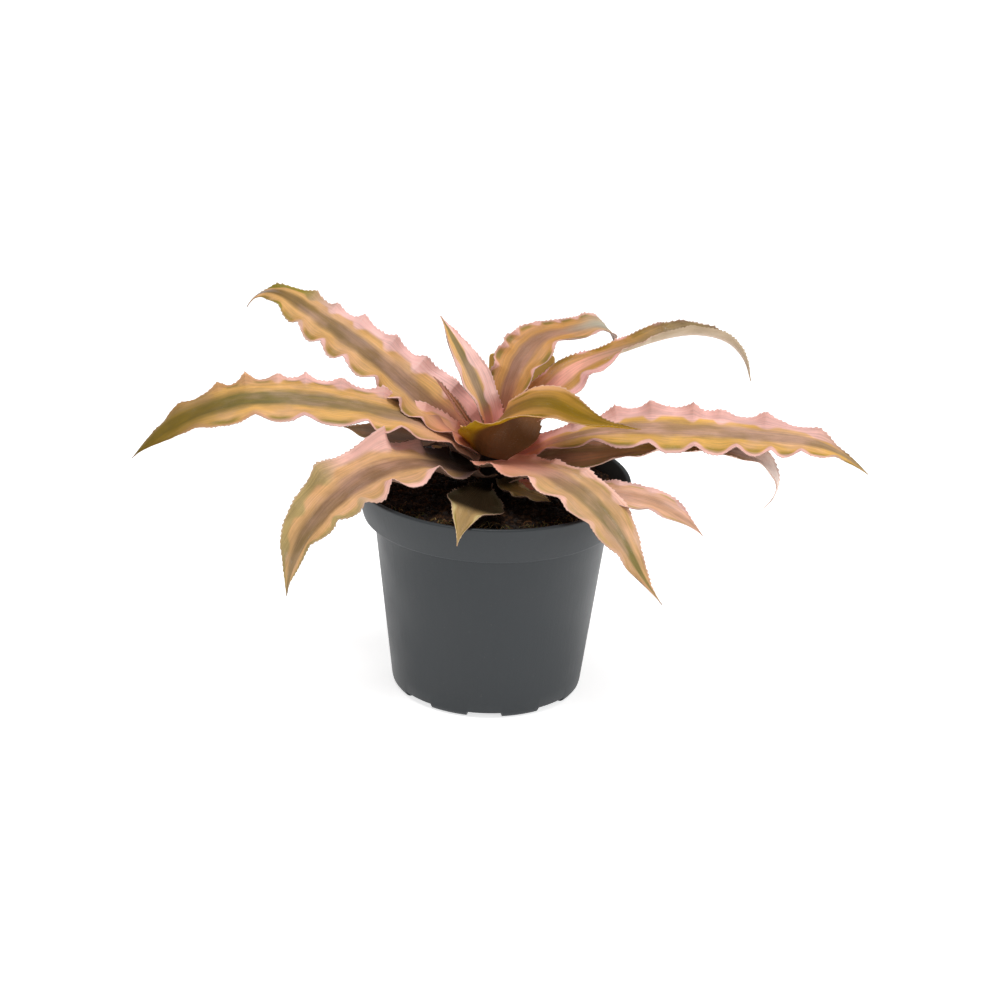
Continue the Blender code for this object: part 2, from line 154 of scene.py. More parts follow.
# %% Leaves of the heart and the back right
HEART_LEAVES = (
    Leaf(
        "leaf_heart_tall", length=57, width=15, foot=(1.5, 113.4),
        heading=(155, 155), climb=(82, 64, 58, 52), roll=(0, -20, 0),
        left=((0.3, 0.4), (0.6, 0.4)), right=((0.3, 0.6), (0.6, 0.4)),
        cup=((45, 25, 12), (45, 25, 12)), spread=(0.8, 0.3), dip=0.5,
        sides=((1,), (1.1, 1.15, 1.1, 0.85, 0.8)),
    ),
    Leaf(
        "leaf_back_right", length=105, width=29, foot=(5.8, 109.4),
        heading=(65, 44, 47), climb=(87, 70, 35, -8, 2, -77), roll=(0, 20, 20),
        left=((0.2, 1), (0.3, 1.5), (0.38, 2), (0.44, 2), (0.53, 1.5), (0.64, 1), (0.75, 0.5),
              (0.86, 0.3)),
        right=((0.2, 1), (0.33, 1), (0.5, 1.5), (0.8, 0.3)),
        taper=(0.75, 3.5), dip=1,
        sides=((0.7, 0.6, 0.78, 0.45, 0.45, 0.9), (0.7, 0.65, 0.85, 0.5, 0.42, 0.9)),
    ),
    Leaf(
        "leaf_right_twisted", length=150, width=20, foot=(6.4, 106.5),
        heading=(33, 22), climb=(57, 47, 6, 10, -20, -83), roll=(0, 30, 32, 0, -15, -15, -10, 0),
        left=((0.12, 1), (0.24, 1.5), (0.36, 1), (0.5, 1), (0.63, 2), (0.7, 1.5), (0.8, 1)),
        right=((0.12, 1), (0.22, 1.5), (0.32, 1.5), (0.45, 1), (0.56, 1), (0.7, 1), (0.82, 1)),
        cup=((60, 20, 60, 60), (60, 15, 65, 50)), dip=1,
        sides=((0.8, 0.75, 0.35, 1.1, 1.2, 0.8), (1, 1.2, 1.1, 0.6, 0.8, 0.8)),
    ),
    Leaf(
        "leaf_heart_right", length=87.5, width=20, foot=(6.7, 107.8),
        heading=(-128, 7, -9, -5), climb=(90, 42, 32, -28, -11, -1), roll=(-19, 27, -12),
        left=((0.15, 1), (0.3, 1), (0.5, 0.5)), right=((0.12, 2), (0.22, 2), (0.33, 1), (0.6, 0.5)),
        cup=((42, -28, 37, 10), (15, 37, 12, 12)), spread=(1.9, 0.5), dip=0.6,
        sides=((0.5, 2.3, 0.75, 1, 0.5, 0.3), (0.8, 0.7, 1.15, 1.3, 0.6, 0.3)),
    ),
)
print("in the heart and behind it:", [leaf.name for leaf in HEART_LEAVES])

# %% [markdown]
# To the right one long ruffled leaf lies over a narrower one. Another hangs over the collar at the
# front right, with a low one beside it.

# %% Leaves to the right
RIGHT_LEAVES = (
    Leaf(
        "leaf_right", length=161, width=29, foot=(6, 103.2),
        heading=(-5, -6), climb=(33, 18, 3, -1, -4, -46), roll=(0, 25, 20),
        left=((0.1, 2), (0.2, 3), (0.31, 6), (0.4, 6), (0.51, 7), (0.58, 3), (0.7, 6), (0.84, 3)),
        right=((0.12, 1), (0.25, 1), (0.4, 2.5), (0.52, 2.5), (0.63, 2.5), (0.72, 2), (0.8, 2),
               (0.9, 0.5)),
        cup=((60, 25, 10, 5), (0, 6, 5, 0)), dip=1.8,
        sides=((0.6, 0.5, 0.85, 0.65, 0.8, 1), (0.5, 0.5, 1, 0.88, 0.9, 0.7)),
    ),
    Leaf(
        "leaf_right_under", length=140, width=22, foot=(6.6, 95),
        heading=(-9, -3), climb=(42, 10, 15, 4, -20, -146), roll=(30, 23, 15),
        left=((0.15, 1), (0.3, 2), (0.45, 2), (0.6, 2), (0.75, 1)),
        right=((0.2, 1), (0.35, 1), (0.5, 1), (0.65, 1), (0.8, 1)),
        dip=0.8,
        sides=((0.8, 0.7, 0.5, 0.7, 0.9, 0.5), (1, 1.15, 0.4, 0.4, 0.8, 0.5)),
    ),
    Leaf(
        "leaf_front_right", length=110, width=26, foot=(6.2, 105.4),
        heading=(-52, -43, -47), climb=(16, 5, -13, -32, -46, -32), roll=(-6, 4, 0, 0),
        left=((0.12, 1), (0.24, 2), (0.38, 2.5), (0.55, 1), (0.72, 0.5)),
        right=((0.12, 2), (0.3, 2.5), (0.45, 1), (0.6, 0.7), (0.75, 0.5)),
        cup=((22, 6, 5, 5), (10, 8, 5, 5)), spread=(0.9, 0.3), dip=1,
        sides=((0.7, 0.6, 1.05, 1.1, 0.6, 0.3), (1.55, 1.3, 1.1, 0.88, 0.68, 0.3)),
    ),
    Leaf(
        "leaf_right_low", length=97, width=22, foot=(6, 92),
        heading=(-28, -26), climb=(0, 12, 15, 3, -13, -46), roll=(0, 10, 10),
        left=((0.2, 1), (0.4, 1), (0.55, 1.5), (0.7, 1), (0.85, 1)),
        right=((0.25, 1), (0.45, 1), (0.6, 1), (0.75, 1)),
        dip=0.8,
        sides=((0.75, 0.65, 0.6, 0.6, 0.85, 0.6), (0.4, 0.5, 1, 1.2, 1.2, 1.3)),
    ),
)
print("to the right:", [leaf.name for leaf in RIGHT_LEAVES])

# %% [markdown]
# The oldest leaves sit lowest and stay short. One bends over the front of the rim, and the others
# are mostly in the shade of the long ones. A last one is a thin sliver in the heart.

# %% Short leaves
SHORT_LEAVES = (
    Leaf(
        "leaf_front_short", length=65, width=26, foot=(6, 94.4),
        heading=(-102, -100, -105), climb=(14, 7, 4, -62), roll=(0, -15, -15),
        left=((0.3, 1), (0.55, 1), (0.75, 1)), right=((0.3, 1), (0.5, 1), (0.7, 1)),
        cup=((40, 20, 18), (40, 10, 0)), taper=(0.62, 1.8), dip=0.8,
        sides=((0.2, 0.25, 0.7, 1.15, 0.5, 0.3), (0.3, 0.4, 0.6, 0.8, 0.45, 0.25)),
    ),
    Leaf(
        "leaf_front_shaded", length=33, width=10, foot=(6.4, 96.9),
        heading=(-57, -51, -40), climb=(-16, 9, 1), roll=(0, 0),
        left=((0.3, 1), (0.6, 1)), right=((0.4, 1), (0.7, 1)),
        cup=((30, 5, 0), (30, 5, 0)), dip=0.8,
    ),
    Leaf(
        "leaf_heart_thin", length=36, width=3, foot=(5.6, 109.5),
        heading=(170, 160, 160), climb=(62, 50, 45), roll=(0, -20, 0),
        left=((0.3, 0.5), (0.6, 0.5)), right=((0.4, 0.5), (0.7, 0.5)),
        dip=0.4,
    ),
    Leaf(
        "leaf_left_under", length=67, width=22, foot=(6.3, 98.5),
        heading=(158, 160), climb=(51, -5, 4, -6), roll=(0, -5, -10),
        left=((0.3, 1), (0.5, 1.5), (0.7, 1)), right=((0.35, 1), (0.6, 1)),
        sides=((0.3, 0.3, 0.5, 0.9, 1, 1), (0.6, 0.7, 1, 1, 1, 1)),
    ),
)
print("short:", [leaf.name for leaf in SHORT_LEAVES])

# %% [markdown]
# A rosette is full all round, so three plain leaves close it at the back.

# %% Leaves behind, and all the leaves together
BACK_LEAVES = (
    Leaf(
        "leaf_back", length=75, width=18, foot=(6, 102.5),
        heading=(108, 113), climb=(25, 12, -5, -35), roll=(0, 0),
        left=((0.2, 1), (0.35, 2), (0.5, 2), (0.68, 1.5), (0.85, 1)),
        right=((0.15, 1), (0.3, 2), (0.47, 1.5), (0.62, 2), (0.8, 1)),
    ),
    Leaf(
        "leaf_back_left_low", length=76, width=20, foot=(6, 93.8),
        heading=(136, 138), climb=(24, 12, -4, -30), roll=(0, 0),
        left=((0.18, 1), (0.36, 1.5), (0.52, 2), (0.7, 1.5), (0.86, 1)),
        right=((0.2, 1), (0.32, 2), (0.48, 1.5), (0.65, 2), (0.8, 1)),
    ),
    Leaf(
        "leaf_back_short", length=26, width=14, foot=(6, 95),
        heading=(75, 70), climb=(25, 10, 0), roll=(0, 0),
        left=((0.4, 0.5), (0.7, 0.5)), right=((0.35, 0.5), (0.65, 0.5)),
        dip=0.4,
    ),
)
LEAVES = LEFT_LEAVES + HEART_LEAVES + RIGHT_LEAVES + SHORT_LEAVES + BACK_LEAVES
print(len(LEAVES), "leaves, the longest", max(leaf.length for leaf in LEAVES), "mm")

# %% [markdown]
# ### The line of a leaf
# The midrib is the line that the rest of a leaf hangs on. It could be a curve object with a sheet
# bent along it, but then the roll is hard to steer. Here the three lists of angles say which way
# the leaf runs and which way its face looks at every place, and adding up short steps gives the
# line.

# %% The midrib, and the directions across it and out of it
BEND_SOFTNESS = 0.05  # how far to each side a change of angle is spread, as a share of the length


def along(values, share):
    """Evenly spaced values read off at each share of the length, averaged over a short stretch."""
    near = np.clip(share[..., None] + np.linspace(-BEND_SOFTNESS, BEND_SOFTNESS, 9), 0, 1)
    return np.interp(near, np.linspace(0, 1, len(values)), values).mean(-1)


def leaf_frame(leaf, share):
    """The midrib's points, and the directions across the leaf and out of its upper face.

    The direction ahead comes from heading and climb, and adding up small steps along it gives the
    points. Across starts level, and roll turns it about the direction ahead.
    """
    heading, climb, roll = (np.radians(along(v, share)) for v in (leaf.heading, leaf.climb, leaf.roll))
    flat = np.zeros_like(share)
    level_run = np.cos(climb)
    ahead = np.stack([level_run * np.cos(heading), level_run * np.sin(heading), np.sin(climb)], -1)
    radius, height = leaf.foot
    foot = np.array([radius * np.cos(heading[0]), radius * np.sin(heading[0]), height])
    steps = (ahead[1:] + ahead[:-1]) / 2 * leaf.length * np.diff(share)[:, None]
    midrib = foot + np.vstack([np.zeros(3), np.cumsum(steps, axis=0)])
    level = np.stack([-np.sin(heading), np.cos(heading), flat], -1)
    upward = np.cross(ahead, level)
    turn, lean = np.cos(roll)[:, None], np.sin(roll)[:, None]
    return midrib, level * turn + upward * lean, upward * turn - level * lean


lowest = min(leaf_frame(leaf, np.linspace(0, 1, 50))[0][:, 2].min() for leaf in LEAVES)
print("the lowest midrib comes down to", round(lowest, 1), "mm")

# %% [markdown]
# ### Smooth steps and random lumps
# Nothing on a plant starts or stops at once, so one helper eases a value in and out. And nothing is
# quite even. Random numbers for every point would look like sand, so they are drawn on a coarse
# lattice and eased from one to the next, which gives soft lumps of a chosen size.

# %% Smooth steps and smooth random lumps
def ease(value, low, high):
    """0 below low, 1 above high, and an S-shaped curve between the two."""
    part = np.clip((value - low) / (high - low), 0, 1)
    return part * part * (3 - 2 * part)


LATTICE_VALUES = 4096
LATTICE_STEPS = (73, 179, 283)  # primes, so that neighbours read values that lie far apart


def lumps(points, size, seed):
    """Smooth random heights between -1 and 1: random values on a cubic lattice, eased between."""
    table = np.random.default_rng(seed).uniform(-1, 1, LATTICE_VALUES)
    cell = np.floor(points / size).astype(int)
    part = ease(points / size - cell, 0, 1)
    total = 0
    for corner in np.ndindex(2, 2, 2):
        key = (cell + corner) @ LATTICE_STEPS % LATTICE_VALUES
        total = total + table[key] * np.prod(np.where(corner, part, 1 - part), axis=-1)
    return total


lump_heights = lumps(np.linspace((0, 0, 0), (500, 0, 0), 2000), 10, seed=1)
print("along a line the lumps go from", round(lump_heights.min(), 2), "to", round(lump_heights.max(), 2))

# %% [markdown]
# ### Width and waves
# A strap-shaped leaf widens from its foot, stays wide and then draws out into a point. Its margin
# could be crumpled by a cloth simulation, but the waves would then fall anywhere. So each crest has
# its own place and height, and a formula joins one to the next.

# %% How wide a leaf is, and how its margins wave
CREST_SHARPNESS = 1.3
LOBE = 0.05  # how far the margin bulges in the troughs, as a share of the half width
DRAWN_FROM, DRAWN_BY = 0.8, 0.45  # where the point starts, and how much it thins the tip
TIP_HALF_WIDTH = 0.25  # mm


def half_width(leaf, share):
    """Grows or shrinks from the foot to the full width, then tapers to a drawn-out point.

    It grows as a parabola that levels out at the full width, and tapers as 1 less a power of the
    share past where it starts to narrow.
    """
    foot_share, full_by = leaf.spread
    narrow_from, roundness = leaf.taper
    grown = np.clip(share / full_by, 0, 1)
    widening = foot_share + (1 - foot_share) * grown * (2 - grown)
    taper = 1 - np.clip((share - narrow_from) / (1 - narrow_from), 0, 1) ** roundness
    drawn = 1 - DRAWN_BY * ease(share, DRAWN_FROM, 1)
    return np.maximum(leaf.width / 2 * widening * taper * drawn, TIP_HALF_WIDTH)


def margin_wave(crests, share):
    """How near the margin is to a crest (1) or a trough (0), and the height of the crests there.

    Between one crest and the next the wave is part raised cosine and part the arch of a sine,
    which has a sharp crest and a round trough. The height changes in a straight line.
    """
    if not crests:
        return np.zeros_like(share), np.zeros_like(share)
    places, heights = np.array(((0, crests[0][1] / 2), *crests, (1, 0))).T
    step = np.clip(np.searchsorted(places, share, side="right") - 1, 0, len(places) - 2)
    part = (share - places[step]) / (places[step + 1] - places[step])
    cosine, arch = (1 + np.cos(2 * np.pi * part)) / 2, 1 - np.sin(np.pi * part)
    wave = 0.5 * cosine + 0.5 * arch
    return wave, heights[step] * (1 - part) + heights[step + 1] * part


wave, crest_height = margin_wave(LEAVES[0].left, np.linspace(0, 1, 200))
print(LEAVES[0].name, "has crests up to", round(crest_height.max(), 1), "mm high on its left margin")

# %% [markdown]
# ### The upper face
# Line, width and waves now meet in one function of two parameters: how far along the leaf a point
# lies, and how far across it. Each half curls up from the midrib by its own angle, like a gutter,
# so that water runs to the heart. Some unevenness over the whole face keeps it from looking
# pressed.

# %% The leaf's upper face as one function of two parameters
WAVE_FROM, WAVE_POWER = 0.3, 1.6  # the waves start this far out from the midrib, and grow so fast
RIM_FROM, RIM_LIFT = 0.86, 0.5  # the outermost strip turns up again by this many millimetres
UNEVEN, RIPPLE = 0.3, 0.7  # mm, over the whole face and near the margin
FACE_LUMP, MARGIN_LUMP, HALF_SPAN = 9, 5, 12  # mm: the lumps' sizes, and a usual half width
CALM_FOOT, CALM_TIP = 0.08, 0.85  # the waves are full from the first, and die away past the second


def leaf_upper(leaf, share, across):
    """Points of the upper face, in millimetres, for shares along the leaf and -1 to 1 across it.

    Each cross-section is an arc that starts level at the midrib, with its own curl on each side.
    The margin's wave is added along the arc's normal and grows from the midrib outwards.
    """
    midrib, sideways, out = leaf_frame(leaf, share)
    side = across[None, :] > 0
    reach = np.abs(across)[None, :]
    waves = [margin_wave(crests, share) for crests in (leaf.left, leaf.right)]
    wave = np.where(side, waves[0][0][:, None], waves[1][0][:, None])
    crest = np.where(side, waves[0][1][:, None], waves[1][1][:, None])
    curls = [np.radians(along(cup, share))[:, None] for cup in leaf.cup]
    curl = np.where(side, curls[0], curls[1])
    left_full, right_full = (along(values, share)[:, None] for values in leaf.sides)
    fuller = np.where(side, left_full, right_full)
    half = half_width(leaf, share)[:, None] * fuller * (1 + LOBE * (1 - 2 * wave))
    bend = curl * reach
    run = half * reach * np.sinc(bend / np.pi) * np.sign(across)
    rise = half * reach * np.sin(bend / 2) * np.sinc(bend / 2 / np.pi)
    fade = (ease(share, 0, CALM_FOOT) * (1 - ease(share, CALM_TIP, 1)))[:, None]
    height = (crest + leaf.dip) * wave**CREST_SHARPNESS - leaf.dip
    push = height * fade * np.clip((reach - WAVE_FROM) / (1 - WAVE_FROM), 0, 1) ** WAVE_POWER
    rim = np.clip((reach - RIM_FROM) / (1 - RIM_FROM), 0, 1) ** 2
    push = push + RIM_LIFT * (1 - wave) * fade * rim
    place = np.stack(np.broadcast_arrays(share[:, None] * leaf.length, across * HALF_SPAN, leaf.length), -1)
    push = push + UNEVEN * lumps(place, FACE_LUMP, seed=3) * (0.3 + reach)
    push = push + RIPPLE * lumps(place, MARGIN_LUMP, seed=8) * fade * reach**3
    leaned = (np.sin(bend) * np.sign(across))[..., None]
    normal = out[:, None] * np.cos(bend)[..., None] - sideways[:, None] * leaned
    surface = midrib[:, None] + sideways[:, None] * run[..., None] + out[:, None] * rise[..., None]
    return surface + normal * push[..., None], wave


face_points, _ = leaf_upper(LEAVES[0], np.linspace(0, 1, 200), np.linspace(1, -1, 9))
print(LEAVES[0].name, "reaches", np.ptp(face_points, axis=(0, 1)).round(1), "mm along X, Y and Z")

# %% [markdown]
# ### Thickness and spines
# A leaf is a closed body, thick along the midrib and thin as card at the margin, so its edge
# shows in close views. A Solidify modifier would make it the same thickness all over, so the lower
# face is worked out from the upper one. The margin of this plant also carries tiny spines that lean
# towards the tip. They are made in the mesh too, as a sawtooth in the outline, which a bump could
# not give.

# %% The spines at the margin
TOOTH, TOOTH_DEPTH = 2.0, 1.0  # mm from spine to spine, and how far they stand out
TOOTH_CURVE = 1.3  # more than 1 makes a spine's slow side hollow
BARE_FOOT, BARE_TIP = (0.02, 0.08), 0.9  # where along the leaf the spines start, and start to go


def spines(leaf, share):
    """A sawtooth that rises slowly towards the tip and drops at once, of uneven heights.

    Its height is the share of the way from one spine to the next, to a power.
    """
    place = share * leaf.length
    uneven_place = np.stack([place, place * 0, place * 0 + leaf.length], -1)
    wander_place = np.stack([place, place * 0 + 9, place * 0 + leaf.width], -1)
    uneven = 0.65 + 0.5 * lumps(uneven_place, 2.4, seed=5)
    wander = 0.6 * lumps(wander_place, 4, seed=6)
    fade = ease(share, *BARE_FOOT) * (1 - ease(share, BARE_TIP, 1))
    return TOOTH_DEPTH * uneven * fade * (((place + wander) / TOOTH) % 1) ** TOOTH_CURVE


longest_spine = max(spines(leaf, np.linspace(0, 1, 2000)).max() for leaf in LEAVES)
print("the longest spine stands out by", round(longest_spine, 2), "mm")

# %% The closed body of a leaf
THICK_MIDRIB, THICK_MARGIN, THICK_CURVE = 1.1, 0.35, 1.3  # mm, and how it falls between them
THIN_TIP_FROM, THIN_TIP_BY = 0.6, 0.6
STATION = 0.34  # mm from one cross-section to the next
HALF_ACROSS = (0, 0.1, 0.2, 0.3, 0.4, 0.5, 0.6, 0.69, 0.77, 0.84, 0.9, 0.95, 0.98, 1)
ACROSS = np.array([-value for value in HALF_ACROSS[:0:-1]] + list(HALF_ACROSS))[::-1]
SPINES_FROM = 0.93  # the margin strip that the spines push out, as a share of the half width


def leaf_body(leaf):
    """The upper face with spines at its margins, the lower face under it, and both closed in.

    Thickness goes down along the face's normal, and falls from the midrib to the margin.
    """
    rows = int(leaf.length / STATION)
    share = np.linspace(0, 1, rows)
    upper, wave = leaf_upper(leaf, share, ACROSS)
    outward = upper[:, [0, -1]] - upper[:, [2, -3]]
    outward = outward / np.linalg.norm(outward, axis=-1, keepdims=True)
    strip = np.clip((np.abs(ACROSS) - SPINES_FROM) / (1 - SPINES_FROM), 0, 1) ** 2
    pushed = spines(leaf, share)[:, None] * strip
    upper = upper + pushed[..., None] * np.where((ACROSS > 0)[:, None], outward[:, :1], outward[:, 1:])
    normal = np.cross(np.gradient(upper, axis=1), np.gradient(upper, axis=0))
    normal = normal / np.maximum(np.linalg.norm(normal, axis=-1, keepdims=True), 1e-9)
    thick = THICK_MARGIN + (THICK_MIDRIB - THICK_MARGIN) * (1 - np.abs(ACROSS) ** THICK_CURVE)
    thick = thick * (1 - THIN_TIP_BY * ease(share, THIN_TIP_FROM, 1))[:, None]
    thick = np.minimum(thick, half_width(leaf, share)[:, None])
    lower = upper - normal * thick[..., None]
    ring = np.concatenate([upper, lower[:, ::-1]], axis=1)
    count = len(ACROSS)
    faces = grid_faces(rows, 2 * count, wrap=True)
    step = np.arange(count - 1)
    foot = np.stack([step + 1, step, 2 * count - 1 - step, 2 * count - 2 - step], -1)
    tip = foot[:, ::-1] + (rows - 1) * 2 * count
    return ring, np.vstack([faces, foot, tip]), share, wave


print("each cross-section has", 2 * len(ACROSS), "points, every", STATION, "mm")

# %% [markdown]
# ### Making the blades
# The finish has to know where each point lies across and along its leaf. A UV map could say so,
# but plain named values on the points tell what they are, and there is no seam to hide. Every
# blade then takes the place of its packed leaf.

# %% Values kept on the points of a mesh
def add_values(piece, name, values):
    """Stores one number for each point of the mesh, for its material to read by name."""
    stored = piece.data.attributes.new(name, "FLOAT", "POINT")
    stored.data.foreach_set("value", np.ravel(values).astype(np.float32))


def add_directions(piece, name, vectors):
    """Stores three numbers for each point of the mesh, for its material to read by name."""
    stored = piece.data.attributes.new(name, "FLOAT_VECTOR", "POINT")
    stored.data.foreach_set("vector", np.ravel(vectors).astype(np.float32))


# %% The blades
LEAF_APART = 7  # moves each leaf's pattern by its foot's height, so that leaves side by side differ


def both_faces(values):
    """Values for the upper face, repeated in the order of the ring of both faces."""
    return np.concatenate([values, values[:, ::-1]], axis=1)


def make_leaf(leaf):
    """The mesh, with the places across and along it stored for the material."""
    ring, faces, share, wave = leaf_body(leaf)
    piece = add_piece(leaf.name + "_blade", ring * MM, faces)
    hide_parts(leaf.name)
    across = np.broadcast_to(ACROSS, wave.shape)
    length = np.broadcast_to(share[:, None], wave.shape)
    add_values(piece, "across", both_faces(across))
    add_values(piece, "along", both_faces(length))
    add_values(piece, "crest", both_faces(wave))
    add_values(piece, "under", np.concatenate([wave * 0, wave * 0 + 1], axis=1))
    beside_midrib = across * half_width(leaf, share)[:, None]
    flat = [length * leaf.length, beside_midrib, wave * 0 + leaf.foot[1] * LEAF_APART]
    add_directions(piece, "grain", both_faces(np.stack(flat, -1)))
    return piece


blades = {leaf.name: make_leaf(leaf) for leaf in LEAVES}
print("leaf faces:", sum(len(piece.data.polygons) for piece in blades.values()))

# %% [markdown]
# ## Materials
# All the finishes are built from nodes. A few short helpers keep that readable: one adds a node
# and joins its inputs, the others add the few kinds of node used again and again. Colours are
# written as a painter's picker shows them, from 0 to 255, and turned into the linear values that
# the renderer works in.

# %% Colours and single nodes
def paint(red, green, blue):
    """A picker's colour as linear light: the curve that screens use, undone."""
    values = np.array([red, green, blue]) / 255
    linear = np.where(values <= 0.04045, values / 12.92, ((values + 0.055) / 1.055) ** 2.4)
    return (*linear.tolist(), 1.0)


def add_node(tree, kind, inputs, **settings):
    """Adds a node, and joins or fills its inputs, which are named or numbered."""
    node = tree.nodes.new(kind)
    for name, value in settings.items():
        setattr(node, name, value)
    for place, value in inputs.items():
        if isinstance(value, bpy.types.NodeSocket):
            tree.links.new(value, node.inputs[place])
        else:
            node.inputs[place].default_value = value
    return node


def sums(tree, operation, *values):
    """One step of arithmetic."""
    return add_node(tree, "ShaderNodeMath", dict(enumerate(values)), operation=operation).outputs[0]


def between(tree, value, low, high, start=0.0, end=1.0):
    """An S-shaped ramp from start, where value is low, to end, where it is high."""
    inputs = {0: value, 1: low, 2: high, 3: start, 4: end}
    return add_node(tree, "ShaderNodeMapRange", inputs, interpolation_type="SMOOTHSTEP").outputs[0]


def mixed(tree, share, first, second, blend="MIX"):
    """The first colour with a share of the second."""
    inputs = {0: share, 6: first, 7: second}
    return add_node(tree, "ShaderNodeMix", inputs, data_type="RGBA", blend_type=blend).outputs[2]


print("a picker's middle grey sends back", round(paint(128, 128, 128)[0], 3), "of the light")

# %% Patterns and values that a material reads
def noise(tree, place, scale, detail=2.0, roughness=0.5):
    """Smooth random values around 0.5."""
    inputs = {"Vector": place, "Scale": scale, "Detail": detail, "Roughness": roughness}
    return add_node(tree, "ShaderNodeTexNoise", inputs).outputs[0]


def scaled(tree, place, size):
    """A place with each of its three parts multiplied, which stretches a pattern."""
    return add_node(tree, "ShaderNodeVectorMath", {0: place, 1: size}, operation="MULTIPLY").outputs[0]


def stretched_noise(tree, place, stretch, detail=2.0, roughness=0.5):
    """Smooth random values on a place that is multiplied first: a small number draws them out."""
    return noise(tree, scaled(tree, place, stretch), 1.0, detail, roughness)


def stored(tree, name, part="Fac"):
    """A value kept on the mesh."""
    return add_node(tree, "ShaderNodeAttribute", {}, attribute_name=name).outputs[part]


def own_place(tree):
    """Where a point is in its own object, which is the same as its place in the model."""
    return add_node(tree, "ShaderNodeTexCoord", {}).outputs["Object"]


def shaded(tree, colour, amount):
    """The colour, made lighter or darker by an amount that changes over the surface."""
    grey = add_node(tree, "ShaderNodeCombineColor", {0: amount, 1: amount, 2: amount}).outputs[0]
    return mixed(tree, 1.0, colour, grey, "MULTIPLY")


# %% [markdown]
# An effect that several materials share, such as the lines along a leaf, is a node group: a small
# tree of its own with named inputs and outputs. It is built once and placed in each material with
# that material's values. The shader itself stays in the material.

# %% Node groups and materials
def new_group(name, inputs, outputs):
    """An empty node group, its incoming values by name, and the sockets that take its results.

    An input given as a colour gets a colour socket, one given as "place" a vector socket, and any
    other a socket for a number.
    """
    tree = bpy.data.node_groups.new(name, "ShaderNodeTree")
    for label, value in inputs.items():
        if value == "place":
            tree.interface.new_socket(label, in_out="INPUT", socket_type="NodeSocketVector")
            continue
        kind = "NodeSocketColor" if isinstance(value, tuple) else "NodeSocketFloat"
        tree.interface.new_socket(label, in_out="INPUT", socket_type=kind).default_value = value
    for label, kind in outputs.items():
        tree.interface.new_socket(label, in_out="OUTPUT", socket_type="NodeSocket" + kind)
    return tree, tree.nodes.new("NodeGroupInput").outputs, tree.nodes.new("NodeGroupOutput").inputs


def use_group(tree, group, inputs):
    """Places a node group in a tree, and gives its outputs."""
    return add_node(tree, "ShaderNodeGroup", inputs, node_tree=group).outputs


def new_material(name):
    """A material with one Principled shader joined to its output."""
    made = bpy.data.materials.new(name)
    made.use_nodes = True
    return made, made.node_tree, made.node_tree.nodes["Principled BSDF"]


def join(tree, socket, target):
    """Joins an output to the input that takes it."""
    tree.links.new(socket, target)


def add_relief(tree, shader, height, strength, distance):
    """Tilts the shading by a height, for lumps too small to be worth a mesh."""
    inputs = {"Height": height, "Strength": strength, "Distance": distance}
    join(tree, add_node(tree, "ShaderNodeBump", inputs).outputs[0], shader.inputs["Normal"])


# %% [markdown]
# ### Leaf finishes
# A leaf's colour changes across it and along it: a brown stripe down the middle, a golden band
# on each side, sometimes a thin olive line, and a pink rim that shows most on the crests of the
# waves. An image wrapped round each leaf could hold all that, but it would look coarse in close
# views. The mesh knows where each point lies across and along its leaf, so the bands are ramps
# of those two numbers, loosened with noise. Fine lines run the length of the leaf, and pale
# scales are scattered over it in short cross rows.

# %% Fine lines along a leaf, and pale scales across it
# How often each pattern repeats in a millimetre along and across a leaf, and from leaf to leaf.
FINE_LINES, WIDE_PATCHES = (0.035, 1.9, 1), (0.07, 0.16, 1)
SCALE_SPECKS, SCALE_PATCHES = (5.5, 2.2, 1), (0.11, 0.3, 1)

lines, given, result = new_group("leaf_lines", {"Grain": "place"}, {"Lines": "Float", "Patches": "Float"})
fine = stretched_noise(lines, given["Grain"], FINE_LINES, detail=4.0, roughness=0.65)
wide = stretched_noise(lines, given["Grain"], WIDE_PATCHES, detail=3.0)
join(lines, between(lines, fine, 0.3, 0.7), result["Lines"])
join(lines, between(lines, wide, 0.35, 0.65), result["Patches"])

scales, given, result = new_group("leaf_scales", {"Grain": "place", "Amount": 0.5}, {"Scales": "Float"})
speck = stretched_noise(scales, given["Grain"], SCALE_SPECKS, detail=3.0, roughness=0.7)
patch = stretched_noise(scales, given["Grain"], SCALE_PATCHES)
level = between(scales, patch, 0.3, 0.75, 0.75, 0.5)
speck = between(scales, sums(scales, "SUBTRACT", speck, level), 0.0, 0.16)
join(scales, sums(scales, "MULTIPLY", speck, given["Amount"]), result["Scales"])
print("groups:", lines.name, scales.name)
